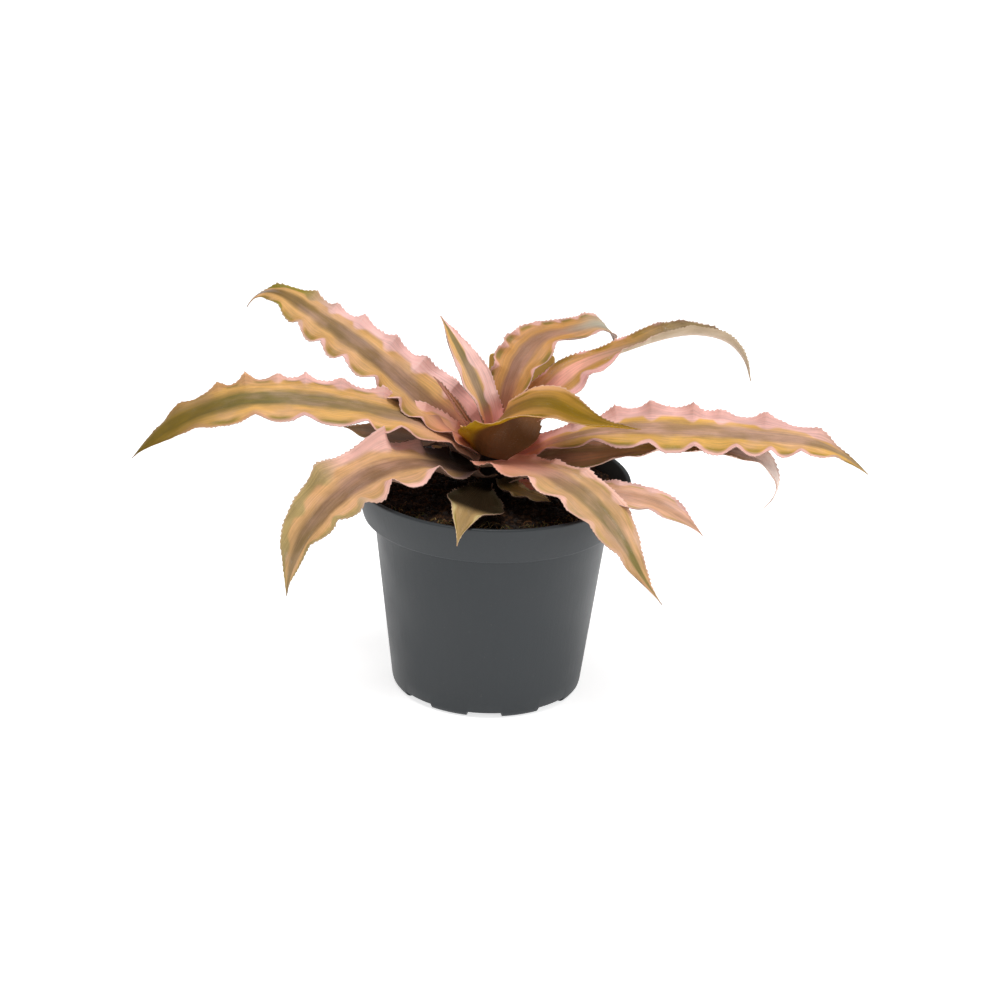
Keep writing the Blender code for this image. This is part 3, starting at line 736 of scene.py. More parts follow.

# %% [markdown]
# No two leaves have the same colours: the young ones are pink and the old ones straw and olive.
# Those in the shade are painted almost black at the foot, as painted shade. The nodes are the same
# for all, so what differs is kept in a list of colours and reaches, one for each leaf. A leaf says
# only what is its own, and takes the rest from the usual warm finish.

# %% What describes a finish
# Spans and turns are shares of the length. Amounts go from 0 to 1.
USUAL = dict(
    stripe=(150, 114, 82),  # the middle of the leaf, near its foot
    outer=(142, 118, 66),  # the middle, further out
    band=(232, 176, 96),  # the golden band on each side
    line=(134, 116, 40),  # the olive line outside the band
    rim=(250, 178, 168),  # the margin
    rim_end=(),  # the margin past rim_turns, where it differs
    tip=(124, 98, 26),
    # foot is the colour near the stem: the leaf's own coral, or painted shade where it is set dark
    foot=(226, 116, 96),
    under=(148, 114, 96),  # the lower face
    under_edge=(156, 120, 98),  # the lower face along the leaf's right side
    rims=(0.88, 0.88),  # where the rim starts, left and right, as a share of the half width
    rim_turns=0.6,  # where the margin starts to change to rim_end
    tip_span=(0.65, 1.1),  # where the tip's colour sets in, and where it is full
    foot_span=(0.12, 0.3),  # where the foot's colour starts to go, and where it is gone
    line_amount=0.8,
    tip_amount=0.7,
    foot_amount=0.5,
    flush_amount=0.2,  # patches of the rim's colour over the whole face
    scale_amount=0.3,  # pale scales
    gloss=0.35,
)
Finish = namedtuple("Finish", USUAL, defaults=USUAL.values())


def band_inputs(finish):
    """A finish under the names that the sockets of the bands' node group have."""
    colours = ("stripe", "outer", "band", "line", "rim", "tip", "foot")
    inputs = {part.capitalize(): paint(*getattr(finish, part)) for part in colours}
    for part in ("line", "tip", "foot", "flush", "scale"):
        inputs[part.capitalize() + " amount"] = getattr(finish, part + "_amount")
    inputs["Rim end"] = paint(*(finish.rim_end or finish.rim))
    inputs["Rim turns"] = finish.rim_turns
    inputs["Left rim"], inputs["Right rim"] = finish.rims
    inputs["Tip from"], inputs["Tip to"] = finish.tip_span
    inputs["Foot from"], inputs["Foot to"] = finish.foot_span
    return inputs


print(len(band_inputs(Finish())), "values in a finish's bands")

# %% [markdown]
# The bands are laid one over the other, as a painter would: first the stripe and the golden bands,
# then patches of blush, and the olive line, which keeps to the troughs of the waves. A drift of
# noise moves their edges in and out, so that no edge runs straight.

# %% The stripe, the golden bands, the blush and the olive line
BAND_GRAIN, BLUSH_GRAIN = (0.08, 0.3, 1), (0.05, 0.12, 1)
BAND_DRIFT, RIM_DRIFT = 0.28, 0.12  # how far an edge moves, in half widths
OUTER_SPAN = (0.15, 0.7)  # the stripe changes colour between these shares of the length
STRIPE_EDGE, LINE_EDGE = (0.18, 0.46), (0.66, 0.84)  # where each fades over, in half widths

bands, given, result = new_group(
    "leaf_bands",
    {"Across": 0.0, "Along": 0.0, "Crest": 0.0, "Grain": "place", **band_inputs(Finish())},
    {"Color": "Color", "Height": "Float"},
)
true_reach = sums(bands, "ABSOLUTE", given["Across"])
drift = sums(bands, "SUBTRACT", stretched_noise(bands, given["Grain"], BAND_GRAIN, detail=3.0), 0.5)
reach = sums(bands, "ADD", true_reach, sums(bands, "MULTIPLY", drift, BAND_DRIFT))
stripe = mixed(bands, between(bands, given["Along"], *OUTER_SPAN), given["Stripe"], given["Outer"])
colour = mixed(bands, between(bands, reach, *STRIPE_EDGE), stripe, given["Band"])

blush = between(bands, stretched_noise(bands, given["Grain"], BLUSH_GRAIN, detail=3.0), 0.4, 0.65)
colour = mixed(bands, sums(bands, "MULTIPLY", blush, given["Flush amount"]), colour, given["Rim"])

valley = between(bands, given["Crest"], 0.05, 0.6, 1.0, 0.1)
line_place = sums(bands, "MULTIPLY", between(bands, reach, *LINE_EDGE), valley)
colour = mixed(bands, sums(bands, "MULTIPLY", line_place, given["Line amount"]), colour, given["Line"])
print("nodes so far:", len(bands.nodes))

# %% [markdown]
# The pink rim starts at its own place on each side, and reaches further in on the crests, where
# light and dryness colour a leaf most. Towards the tip it can turn to another colour.

# %% The rim
CREST_REACH = 0.2  # how much further in the rim starts on a crest
RIM_SOFTNESS = (-0.1, 0.08)  # from where to where its edge fades, in half widths
TURN_LENGTH = 0.18  # the share of the length over which the rim changes colour

left = sums(bands, "GREATER_THAN", given["Across"], 0.0)
either_rim = {0: left, 2: given["Right rim"], 3: given["Left rim"]}
rim_from = add_node(bands, "ShaderNodeMix", either_rim).outputs[0]
rim_from = sums(bands, "SUBTRACT", rim_from, between(bands, given["Crest"], 0.3, 1.0, 0.0, CREST_REACH))
edge = sums(bands, "ADD", true_reach, sums(bands, "MULTIPLY", drift, RIM_DRIFT))
rim = between(bands, sums(bands, "SUBTRACT", edge, rim_from), *RIM_SOFTNESS)
turned_by = sums(bands, "ADD", given["Rim turns"], TURN_LENGTH)
rim_turned = between(bands, given["Along"], given["Rim turns"], turned_by)
colour = mixed(bands, rim, colour, mixed(bands, rim_turned, given["Rim"], given["Rim end"]))
print("nodes so far:", len(bands.nodes))

# %% [markdown]
# Last come the tip, which dries first, the pale line of the very edge, the fine lines and scales,
# and the foot, which is coral on most leaves and painted shade where it is dark. The tip's colour
# runs further back along the middle than along the sides.

# %% The tip, the edge, the lines and scales, and the foot
MIDDLE_LEAD = 0.2  # how much further back the tip's colour reaches along the middle
EDGE_WIDTH, EDGE_AMOUNT = (0.95, 1.0), 0.35
LINE_SHADES, PATCH_SHADES = (0.86, 1.08), (0.9, 1.08)  # the darkest and the lightest
PALE_EDGE, PALE_SCALE = paint(250, 214, 204), paint(228, 219, 205)

inward = sums(bands, "SUBTRACT", given["Along"], sums(bands, "MULTIPLY", true_reach, MIDDLE_LEAD))
tipward = between(bands, inward, given["Tip from"], given["Tip to"])
colour = mixed(bands, sums(bands, "MULTIPLY", tipward, given["Tip amount"]), colour, given["Tip"])
colour = mixed(bands, between(bands, true_reach, *EDGE_WIDTH, 0.0, EDGE_AMOUNT), colour, PALE_EDGE)

made = use_group(bands, lines, {"Grain": given["Grain"]})
line_shade = between(bands, made["Lines"], 0.0, 1.0, *LINE_SHADES)
patch_shade = between(bands, made["Patches"], 0.0, 1.0, *PATCH_SHADES)
colour = shaded(bands, colour, sums(bands, "MULTIPLY", line_shade, patch_shade))
specks = use_group(bands, scales, {"Grain": given["Grain"], "Amount": given["Scale amount"]})["Scales"]
colour = mixed(bands, specks, colour, PALE_SCALE)

# The foot's colour: the leaf's own coral on most leaves, and painted shade on those where it is dark.
footward = between(bands, given["Along"], given["Foot from"], given["Foot to"], 1.0, 0.0)
footward = sums(bands, "MULTIPLY", footward, given["Foot amount"])
join(bands, mixed(bands, footward, colour, given["Foot"]), result["Color"])
join(bands, sums(bands, "ADD", made["Lines"], specks), result["Height"])
print("nodes in", bands.name, len(bands.nodes))

# %% [markdown]
# The lower face of a leaf has no bands. It is duller, greyed by scales that take in water, and
# has another shade along one side. One material covers both faces, because the mesh says which is
# which.

# %% The material of a leaf
UNDER_SIDE = (-0.65, -0.2)  # the lower face changes colour between these places across the leaf
SCALES_BELOW = paint(205, 196, 180)


def leaf_material(name, finish):
    """The bands on the upper face, pale scales on the lower, and fine lines in relief on both.

    On the lower face under_edge covers the leaf's right side and fades into under.
    """
    made, tree, shader = new_material(name)
    grain = stored(tree, "grain", "Vector")
    across = stored(tree, "across")
    along_leaf, crest = stored(tree, "along"), stored(tree, "crest")
    places = {"Across": across, "Along": along_leaf, "Crest": crest, "Grain": grain}
    upper = use_group(tree, bands, {**places, **band_inputs(finish)})
    right_side = between(tree, across, *UNDER_SIDE, 1.0, 0.0)
    lower = mixed(tree, right_side, paint(*finish.under), paint(*finish.under_edge))
    pale = use_group(tree, scales, {"Grain": grain, "Amount": finish.scale_amount})["Scales"]
    lower = mixed(tree, pale, lower, SCALES_BELOW)
    join(tree, mixed(tree, stored(tree, "under"), upper["Color"], lower), shader.inputs["Base Color"])
    add_relief(tree, shader, upper["Height"], strength=0.5, distance=0.0002)
    join(tree, between(tree, upper["Height"], 0.0, 1.2, 0.42, 0.62), shader.inputs["Roughness"])
    shader.inputs["Specular IOR Level"].default_value = finish.gloss
    return made


# %% [markdown]
# The leaves to the left are golden with a brown stripe and a pink margin that turns to straw or
# olive towards the tip. The one at the front is painted almost black at its foot, as painted shade.

# %% Finishes to the left
finishes = {
    "leaf_back_left": Finish(
        stripe=(148, 110, 76), outer=(138, 106, 54), band=(222, 170, 102), line=(148, 122, 32),
        rim=(255, 204, 196), rim_end=(150, 132, 34), tip=(164, 156, 150), foot=(250, 146, 124),
        rims=(0.98, 0.7), rim_turns=0.62, tip_span=(0.8, 0.94), foot_span=(0.06, 0.26),
        line_amount=0.75, tip_amount=0.9, foot_amount=0.55,
    ),
    "leaf_left": Finish(
        stripe=(166, 132, 88), outer=(130, 116, 56), band=(230, 176, 98), line=(128, 116, 20),
        rim=(255, 200, 190), rim_end=(214, 160, 104), tip=(120, 96, 8), foot=(252, 180, 150),
        rims=(0.93, 0.86), rim_turns=0.5, tip_span=(0.5, 0.8), foot_span=(0.06, 0.26), tip_amount=0.95,
        foot_amount=0.75,
    ),
    # Its almost black foot is painted shade.
    "leaf_front_left": Finish(
        stripe=(158, 118, 88), outer=(146, 110, 78), band=(226, 174, 120), line=(174, 154, 80),
        rim=(255, 200, 186), rim_end=(186, 160, 106), tip=(150, 134, 84), foot=(26, 12, 7),
        rims=(0.84, 0.74), rim_turns=0.44, tip_span=(0.5, 1.0), line_amount=0.5, tip_amount=0.6,
        foot_amount=0.97, scale_amount=0.5, gloss=0.15,
    ),
}
print("finishes so far:", len(finishes))

# %% [markdown]
# The young upright leaf has the most pink. The one that arches over from the heart is olive, with
# a brown underside, and the twisted one shows a pale, scaly back.

# %% Finishes of the heart and the back right
finishes |= {
    "leaf_heart_tall": Finish(
        stripe=(142, 122, 86), outer=(150, 130, 82), band=(232, 182, 108), line=(174, 134, 52),
        rim=(255, 206, 196), foot=(250, 150, 136), rims=(0.8, 0.42), tip_span=(0.7, 1.15),
        tip_amount=0.3, foot_amount=0.6,
    ),
    "leaf_back_right": Finish(
        stripe=(162, 114, 88), outer=(172, 126, 94), band=(208, 150, 82), line=(138, 118, 44),
        rim=(246, 190, 176), tip=(192, 188, 166), foot=(196, 112, 70), rims=(0.97, 0.98),
        tip_span=(0.55, 0.9), line_amount=0.85, tip_amount=0.95, foot_amount=0.35, flush_amount=0.15,
    ),
    "leaf_right_twisted": Finish(
        stripe=(252, 176, 156), outer=(204, 158, 112), band=(206, 150, 72), line=(166, 126, 28),
        rim=(252, 190, 182), tip=(152, 130, 92), under=(204, 178, 156), under_edge=(190, 166, 136),
        rims=(1.1, 0.72), tip_span=(0.3, 0.56), tip_amount=0.9, scale_amount=0.8,
    ),
    "leaf_heart_right": Finish(
        stripe=(160, 110, 60), outer=(98, 80, 0), band=(200, 144, 72), line=(134, 104, 0),
        rim=(226, 168, 116), tip=(148, 112, 2), foot=(255, 188, 138), under=(112, 72, 38),
        under_edge=(184, 140, 16), rims=(0.95, 0.93), tip_span=(0.2, 0.65), line_amount=0.9,
        tip_amount=0.85, foot_amount=0.6, flush_amount=0.05, scale_amount=0.2, gloss=0.2,
    ),
}
print("finishes so far:", len(finishes))

# %% [markdown]
# To the right the olive lines are brighter. The narrow leaf underneath is nearly hidden until its
# pale tip.

# %% Finishes to the right
finishes |= {
    "leaf_right": Finish(
        stripe=(178, 134, 96), outer=(168, 132, 88), band=(234, 180, 90), line=(150, 126, 12),
        rim=(255, 200, 190), rim_end=(150, 126, 50), tip=(176, 146, 104), foot=(240, 140, 120),
        rims=(0.6, 0.9), rim_turns=0.8, tip_span=(0.76, 0.97), foot_span=(0.05, 0.22), tip_amount=0.95,
        foot_amount=0.8, flush_amount=0.3,
    ),
    "leaf_right_under": Finish(
        stripe=(240, 172, 136), outer=(194, 182, 54), band=(208, 162, 112), line=(174, 168, 32),
        rim=(232, 176, 140), tip=(255, 232, 220), foot=(134, 74, 42), under=(250, 226, 214),
        under_edge=(226, 190, 172), tip_span=(0.5, 0.7), foot_span=(0.16, 0.26), tip_amount=1,
        scale_amount=0.7,
    ),
    "leaf_front_right": Finish(
        stripe=(184, 136, 110), outer=(134, 120, 64), band=(214, 168, 116), line=(160, 144, 52),
        rim=(255, 200, 180), rim_end=(226, 180, 146), tip=(168, 138, 72), foot=(250, 166, 144),
        rims=(0.93, 0.93), rim_turns=0.5, tip_span=(0.75, 1.0), foot_span=(0.1, 0.36), line_amount=0.3,
        foot_amount=0.7, flush_amount=0.3, scale_amount=0.5,
    ),
    "leaf_right_low": Finish(
        stripe=(220, 164, 136), outer=(206, 156, 124), band=(236, 182, 144), line=(190, 162, 80),
        rim=(250, 200, 188), tip=(194, 148, 110), flush_amount=0.4, scale_amount=0.5,
    ),
}
print("finishes so far:", len(finishes))

# %% [markdown]
# The short leaves are straw-coloured or brown. At the front their feet are painted almost black,
# and under the left leaves dark brown, as painted deep shade.

# %% Finishes of the short leaves
finishes |= {
    # Its almost black foot, with a near-black part reaching far out, is painted shade.
    "leaf_front_short": Finish(
        stripe=(168, 136, 90), outer=(170, 138, 90), band=(182, 148, 98), line=(134, 120, 44),
        rim=(214, 190, 134), tip=(174, 144, 92), foot=(22, 14, 6), foot_span=(0.62, 0.76),
        foot_amount=0.97, gloss=0.08,
    ),
    # Its almost black foot is painted shade.
    "leaf_front_shaded": Finish(
        stripe=(174, 140, 76), outer=(184, 148, 80), band=(200, 164, 98), line=(156, 134, 48),
        rim=(244, 214, 160), foot=(30, 14, 7), foot_span=(0.1, 0.3), foot_amount=0.9, gloss=0.15,
    ),
    # Its dark brown foot is painted shade.
    "leaf_left_under": Finish(
        stripe=(122, 92, 82), outer=(134, 108, 88), band=(146, 110, 82), rim=(214, 174, 136),
        foot=(60, 30, 22),
    ),
    "leaf_heart_thin": Finish(
        stripe=(160, 112, 72), outer=(160, 112, 72), band=(220, 154, 124), rim=(180, 120, 84),
        under=(200, 140, 120),
    ),
}
print("finishes so far:", len(finishes))

# %% [markdown]
# The leaves at the back have nothing of their own to say, and take the usual finish.

# %% Give every blade its finish
for name, piece in blades.items():
    piece.data.materials.append(leaf_material(name + "_finish", finishes.get(name, Finish())))
print(len(finishes), "leaves have a finish of their own,", len(blades) - len(finishes), "the usual one")

# %% [markdown]
# ## The pot
# A grower's pot is blown or moulded from thin plastic: a tapering body, a collar round the top
# that makes it stiff, and a foot ring with gaps that let water out. It could be built up from
# cylinders, but all of it is one outline turned about the middle, which gives one even skin. The
# corners of the outline are rounded first, because the soft lines of light along them are what
# tell the eye that it is moulded.

# %% Rounded outlines
CORNER_ROOM = 0.48  # the most that a curve takes of each side, so that two never meet


def rounded(outline, pieces=5):
    """Each inner corner becomes a curve that leaves one side and meets the next, at its own size.

    The curve is the mean of its start, the corner and its end, weighted by (1-t)^2, 2t(1-t)
    and t^2.
    """
    corners, size = np.array(outline)[:, :2], np.array(outline)[1:-1, 2, None]
    back, ahead = corners[:-2] - corners[1:-1], corners[2:] - corners[1:-1]
    back_length = np.linalg.norm(back, axis=1, keepdims=True)
    ahead_length = np.linalg.norm(ahead, axis=1, keepdims=True)
    first = corners[1:-1] + back / back_length * np.minimum(size, back_length * CORNER_ROOM)
    last = corners[1:-1] + ahead / ahead_length * np.minimum(size, ahead_length * CORNER_ROOM)
    t = np.linspace(0, 1, pieces)[None, :, None]
    curves = (1 - t) ** 2 * first[:, None] + 2 * t * (1 - t) * corners[1:-1, None] + t**2 * last[:, None]
    return np.vstack([corners[:1], curves.reshape(-1, 2), corners[-1:]])


print("a rounded corner:", rounded(((0, 0, 0), (10, 0, 2), (10, 10, 0)))[1:-1].round(2).tolist())

# %% A lathe
UP = np.array([0, 0, 1])


def closed_faces(rings, columns):
    """Faces of rings that run round a body, and the fans from its first and last ring to a pole."""
    here = np.arange(columns)
    after = (here + 1) % columns
    last, pole = (rings - 1) * columns, rings * columns
    first_fan = np.stack([here * 0 + pole, after, here], -1)
    last_fan = np.stack([here * 0 + pole + 1, last + here, last + after], -1)
    return grid_faces(rings, columns, wrap=True), np.vstack([first_fan, last_fan])


def turned(outline, turn):
    """Points of a closed body: the outline, which starts and ends on the axis, at every angle.

    A point is the direction at its angle times the outline's radius, plus the outline's height.
    """
    radius, height = np.array(outline)[1:-1].T
    ring = np.stack([np.cos(turn), np.sin(turn), turn * 0], -1)
    points = radius[:, None, None] * ring + height[:, None, None] * UP
    poles = [[0, 0, outline[0][1]], [0, 0, outline[-1][1]]]
    return points, poles, *closed_faces(len(radius), len(turn))


quads, fans = closed_faces(10, 24)
print("10 rings of 24 points make", len(quads), "faces round the body and", len(fans), "in the fans")

# %% [markdown]
# The outline runs from the middle of the base, round the foot ring, up the outside, over the rim
# and back down the inside to the floor. Only the base isn't round all the way: eight gaps are cut
# in the foot ring. The turned rings get points exactly at the sides of each gap, and what is low
# there is lifted.

# %% The pot's outline, and the angles of its gaps
# Each corner is its radius, its height and its rounding, in millimetres. The one at height 9 lies
# on the straight wall, and keeps the uneven shading of the lifted foot below it.
POT_OUTLINE = (
    (0, 0, 0), (11, 0, 0.4), (11, 2.5, 0.4), (30.5, 2.5, 0.6), (30.5, 0, 0.6), (41.2, 0, 3),
    (42.3, 9, 0.5), (50.9, 79.2, 0.8), (53.4, 79.6, 0.5), (53.9, 78.8, 0.4), (55.4, 78.8, 0.8),
    (60, 95.5, 1.2), (57.8, 95.5, 0.8), (53.8, 81.5, 1.5), (49.3, 80, 1.2), (40, 4, 3), (0, 4, 0),
)
FOOT_GAPS, GAP_WIDTH, GAP_HEIGHT = 8, 15, 2.5
RING_OUTSIDE, RING_INSIDE = 41, 30  # mm, the foot ring's outer radius and one just inside it
GAP_SIDE, PERIOD_END = 0.6, 2  # degrees: the step at a gap's side, and at a period's end

gap_half = GAP_WIDTH / 2 / RING_OUTSIDE * 180 / np.pi
period = 360 / FOOT_GAPS
one_period = np.concatenate([
    np.linspace(0, period / 2 - gap_half - GAP_SIDE, 8),
    np.linspace(period / 2 - gap_half, period / 2 + gap_half, 9),
    np.linspace(period / 2 + gap_half + GAP_SIDE, period - PERIOD_END, 7),
])
degrees = (one_period[None] + period * np.arange(FOOT_GAPS)[:, None]).ravel()
in_gap = np.abs(degrees % period - period / 2) < gap_half + GAP_SIDE / 2
print(FOOT_GAPS, "gaps, each", round(2 * gap_half, 1), "degrees wide")

# %% Turn the pot and lift its foot over the gaps
turn = np.radians(degrees - period / 2)
outline = rounded(POT_OUTLINE)
points, poles, faces, ends = turned(outline, turn)
low = (points[..., 2] < GAP_HEIGHT) & (np.hypot(points[..., 0], points[..., 1]) > RING_INSIDE) & in_gap
low &= np.arange(len(points))[:, None] < len(outline) // 2  # leaves the floor above as it is
points[..., 2] = np.where(low, GAP_HEIGHT, points[..., 2])
points = np.vstack([points.reshape(-1, 3), poles])
pot = add_piece("pot_shell", points * MM, [*faces, *ends])
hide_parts("pot")
print("points lifted over the gaps:", int(low.sum()))

# %% [markdown]
# ### Drain holes
# Water leaves through a ring of round holes in the floor, one in line with each foot, and then
# through the gaps between the feet. A turned outline has no place for a hole, so pegs are set
# where the holes go and taken away from the shell with a Boolean, and the pegs themselves are
# then thrown away.

# %% The pegs
DRAIN_HOLES, HOLE_RING, HOLE_RADIUS, HOLE_SIDES = 8, 22, 3.5, 20
PEG_FOOT, PEG_HEAD = 1.5, 5  # mm, below and above the floor

around = np.arange(HOLE_SIDES) / HOLE_SIDES * 2 * np.pi
rim = np.stack([HOLE_RADIUS * np.cos(around), HOLE_RADIUS * np.sin(around), around * 0], -1)
ends = [[0, 0, PEG_FOOT], [0, 0, PEG_HEAD]]
peg = np.concatenate([rim + ends[0], rim + ends[1], ends])
facing = (np.arange(DRAIN_HOLES) + 0.5) / DRAIN_HOLES * 2 * np.pi
centres = HOLE_RING * np.stack([np.cos(facing), np.sin(facing), facing * 0], -1)
pegs = centres[:, None] + peg
walls, caps = closed_faces(2, HOLE_SIDES)
faces = [(face + start * len(peg)).tolist() for start in range(DRAIN_HOLES) for face in [*walls, *caps]]
cutter_mesh = bpy.data.meshes.new("drain_pegs")
cutter_mesh.from_pydata((pegs.reshape(-1, 3) * MM).tolist(), [], faces)
cutter = bpy.data.objects.new("drain_pegs", cutter_mesh)
bpy.context.scene.collection.objects.link(cutter)
print(DRAIN_HOLES, "pegs of", len(peg), "points")

# %% Take the pegs away from the floor
drain = pot.modifiers.new("drain", "BOOLEAN")
drain.operation = "DIFFERENCE"
drain.solver = "EXACT"
drain.object = cutter
bpy.context.view_layer.update()
whole = pot.data
pot.data = bpy.data.meshes.new_from_object(pot.evaluated_get(bpy.context.evaluated_depsgraph_get()))
pot.modifiers.remove(drain)
bpy.data.objects.remove(cutter)
for spent in (cutter_mesh, whole):
    bpy.data.meshes.remove(spent)
pot.data.name = "pot_shell"
pot.data.set_sharp_from_angle(angle=np.radians(40))

# %% [markdown]
# ### Moulded plastic
# The pot, the label and the stem are all matt, with cloudy patches and faint streaks, so they
# share one node group. One plain colour and roughness would look like clean computer plastic.
# The pot and the label also carry a little dust, and inside its collar the pot is painted almost black, as
# painted shade.

# %% What moulded plastic looks like
DRAWN_STREAKS = (420, 420, 24)  # per metre, so the streaks run up and down
# The first colour is painted shade for the inside of the collar, the second real dust.
INSIDE_SHADE, DUST = paint(16, 12, 10), paint(120, 116, 106)

plastic, given, result = new_group(
    "moulded_plastic", {"Place": "place", "Color": paint(76, 79, 82), "Dust": 0.3, "Inside shade": 0.0},
    {"Color": "Color", "Roughness": "Float", "Height": "Float"},
)
cloud = noise(plastic, given["Place"], 28.0, detail=4.0)
grit = noise(plastic, given["Place"], 1600.0)
drawn = stretched_noise(plastic, given["Place"], DRAWN_STREAKS, detail=3.0)
tint = between(plastic, cloud, 0.3, 0.7, 0.95, 1.05)
tint = sums(plastic, "MULTIPLY", tint, between(plastic, drawn, 0.3, 0.7, 0.985, 1.015))
colour = shaded(plastic, given["Color"], tint)
dusty = between(plastic, noise(plastic, given["Place"], 900.0, detail=3.0), 0.66, 0.8)
colour = mixed(plastic, sums(plastic, "MULTIPLY", dusty, given["Dust"]), colour, DUST)
# Painted shade inside the collar, where asked.
join(plastic, mixed(plastic, given["Inside shade"], colour, INSIDE_SHADE), result["Color"])
join(plastic, between(plastic, cloud, 0.3, 0.7, 0.4, 0.52), result["Roughness"])
join(plastic, sums(plastic, "ADD", grit, drawn), result["Height"])
print("nodes in", plastic.name, len(plastic.nodes))

# %% The plastic's material, and the pot's
COLLAR_SLOPE = 0.28  # how much wider the collar's inner wall gets for each metre up
COLLAR_FOOT = (0.0309, 0.0315)  # that wall's radius, drawn down to the floor along its slope
SHELF = (0.0794, 0.0798)  # the height at which the painted shade starts


def collar_shade(tree, place):
    """1 inside the collar's sloping wall and above its shelf, where shade is painted, and 0 elsewhere."""
    level = add_node(tree, "ShaderNodeSeparateXYZ", {0: place}).outputs[2]
    flat = scaled(tree, place, (1, 1, 0))
    radius = add_node(tree, "ShaderNodeVectorMath", {0: flat}, operation="LENGTH").outputs["Value"]
    slope = sums(tree, "SUBTRACT", radius, sums(tree, "MULTIPLY", level, COLLAR_SLOPE))
    within = between(tree, slope, *COLLAR_FOOT, 1.0, 0.0)
    return sums(tree, "MULTIPLY", within, between(tree, level, *SHELF))


def plastic_material(name, colour, dust, shaded_inside=False):
    """Matt moulded plastic, with painted shade inside the collar where asked."""
    made, tree, shader = new_material(name)
    place = own_place(tree)
    inputs = {"Place": place, "Color": paint(*colour), "Dust": dust}
    if shaded_inside:
        inputs["Inside shade"] = collar_shade(tree, place)
    finish = use_group(tree, plastic, inputs)
    join(tree, finish["Color"], shader.inputs["Base Color"])
    join(tree, finish["Roughness"], shader.inputs["Roughness"])
    shader.inputs["Specular IOR Level"].default_value = 0.35
    add_relief(tree, shader, finish["Height"], strength=0.25, distance=0.0002)
    return made


pot.data.materials.append(plastic_material("pot_plastic", (47, 51, 54), dust=0.12, shaded_inside=True))
print("pot finish:", pot.data.materials[0].name)

# %% [markdown]
# ## The soil
# Potting soil is peat, bark and fibre in crumbs of many sizes, so no single roughness gives its
# look. The surface is made in three layers: a closed body whose top is raised by random lumps of
# three sizes, a scatter of separate crumbs, and thin strands of dry moss that gather by the lip.

# %% The height of the soil
SOIL_RADIUS, SOIL_TOP = 55.6, 89.5
SINKS_FROM, SINKS_BY = 50, 1.2  # where the ground starts to sink towards the wall, and how far


def soil_height(x, y):
    """Level ground with lumps of three sizes, the smaller ones lower, that sinks at the wall."""
    place = np.stack([x, y, x * 0], -1)
    large, middle = lumps(place, 7, seed=11), lumps(place, 3, seed=12)
    height = SOIL_TOP + 0.9 * large + 0.8 * middle + 0.5 * lumps(place, 1.4, seed=13)
    return height - SINKS_BY * ease(np.hypot(x, y), SINKS_FROM, SOIL_RADIUS)


across_soil = np.linspace(-50, 50, 300)
print("the ground rises and falls by", np.ptp(soil_height(across_soil, across_soil * 0)).round(1), "mm")

# %% The body of soil
# The rings run up the wall from the base to the lip, and from the lip in to the middle of the top,
# where they lie about half a millimetre apart.
SOIL_WALL = ((36, 4.2), (39.2, 6), (48.2, 79), (49, 80.3), (53.2, 82.4), (55, 87.5))

turn = np.linspace(0, 2 * np.pi, 240, endpoint=False)
ring = np.stack([np.cos(turn), np.sin(turn), turn * 0], -1)
radius = np.concatenate([np.linspace(SOIL_RADIUS, 49.5, 14), np.linspace(49, 0.5, 90)])
top = radius[:, None, None] * ring
top[..., 2] = soil_height(top[..., 0], top[..., 1])
wall_radius, wall_height = np.array(SOIL_WALL).T
wall = wall_radius[:, None, None] * ring + wall_height[:, None, None] * UP
grid = np.vstack([wall, top])
poles = [[0, 0, SOIL_WALL[0][1]], [0, 0, SOIL_TOP]]
faces, ends = closed_faces(len(grid), len(turn))
points = np.vstack([grid.reshape(-1, 3), poles])
soil = add_piece("soil_fill", points * MM, [*faces, *ends])
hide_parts("soil")
print("soil:", len(soil.data.polygons), "faces")

# %% [markdown]
# Damp peat is dark, with brown where it crumbles, and takes up light without a shine. Its colour is
# painted darker still, almost black, as painted shade under the leaves. Two noises do: a coarse one
# for the colour, and a finer one in relief, which breaks up the light between the lumps of the mesh.

# %% The finish of damp soil
def soil_material(name):
    """Near black, partly peat and partly painted shade, brown where it crumbles, and rough enough not to
    shine.
    """
    made, tree, shader = new_material(name)
    place = own_place(tree)
    crumbly = between(tree, noise(tree, place, 420.0, detail=5.0, roughness=0.7), 0.45, 0.7)
    # The near black is partly the peat's own colour and partly painted shade.
    join(tree, mixed(tree, crumbly, paint(26, 12, 6), paint(96, 66, 42)), shader.inputs["Base Color"])
    rough = noise(tree, place, 900.0, detail=6.0, roughness=0.7)
    add_relief(tree, shader, rough, strength=1.0, distance=0.0012)
    shader.inputs["Roughness"].default_value = 0.9
    shader.inputs["Specular IOR Level"].default_value = 0.2
    return made


soil.data.materials.append(soil_material("damp_soil"))
print("soil finish:", soil.data.materials[0].name)

# %% [markdown]
# ### Crumbs and strands
# Loose crumbs and bits of moss lie on top of the soil. Particles or hair would scatter them in one
# step, but neither would be there when the model is exported. So each kind is one mesh: a small
# shape, copied to many random places, with few faces because there are so many of it.

# %% Many copies of a small shape
random = np.random.default_rng(21)


def scatter(count, low_turn, high_turn, low_radius, high_radius):
    """Random places on the soil between two angles, in degrees, and two radii, in millimetres.

    The radius is the root of an even draw between the squares, which spreads the places evenly.
    """
    angle = np.radians(random.uniform(low_turn, high_turn, count))
    out = np.sqrt(random.uniform(low_radius**2, high_radius**2, count))
    x, y = out * np.cos(angle), out * np.sin(angle)
    return np.stack([x, y, soil_height(x, y)], -1)


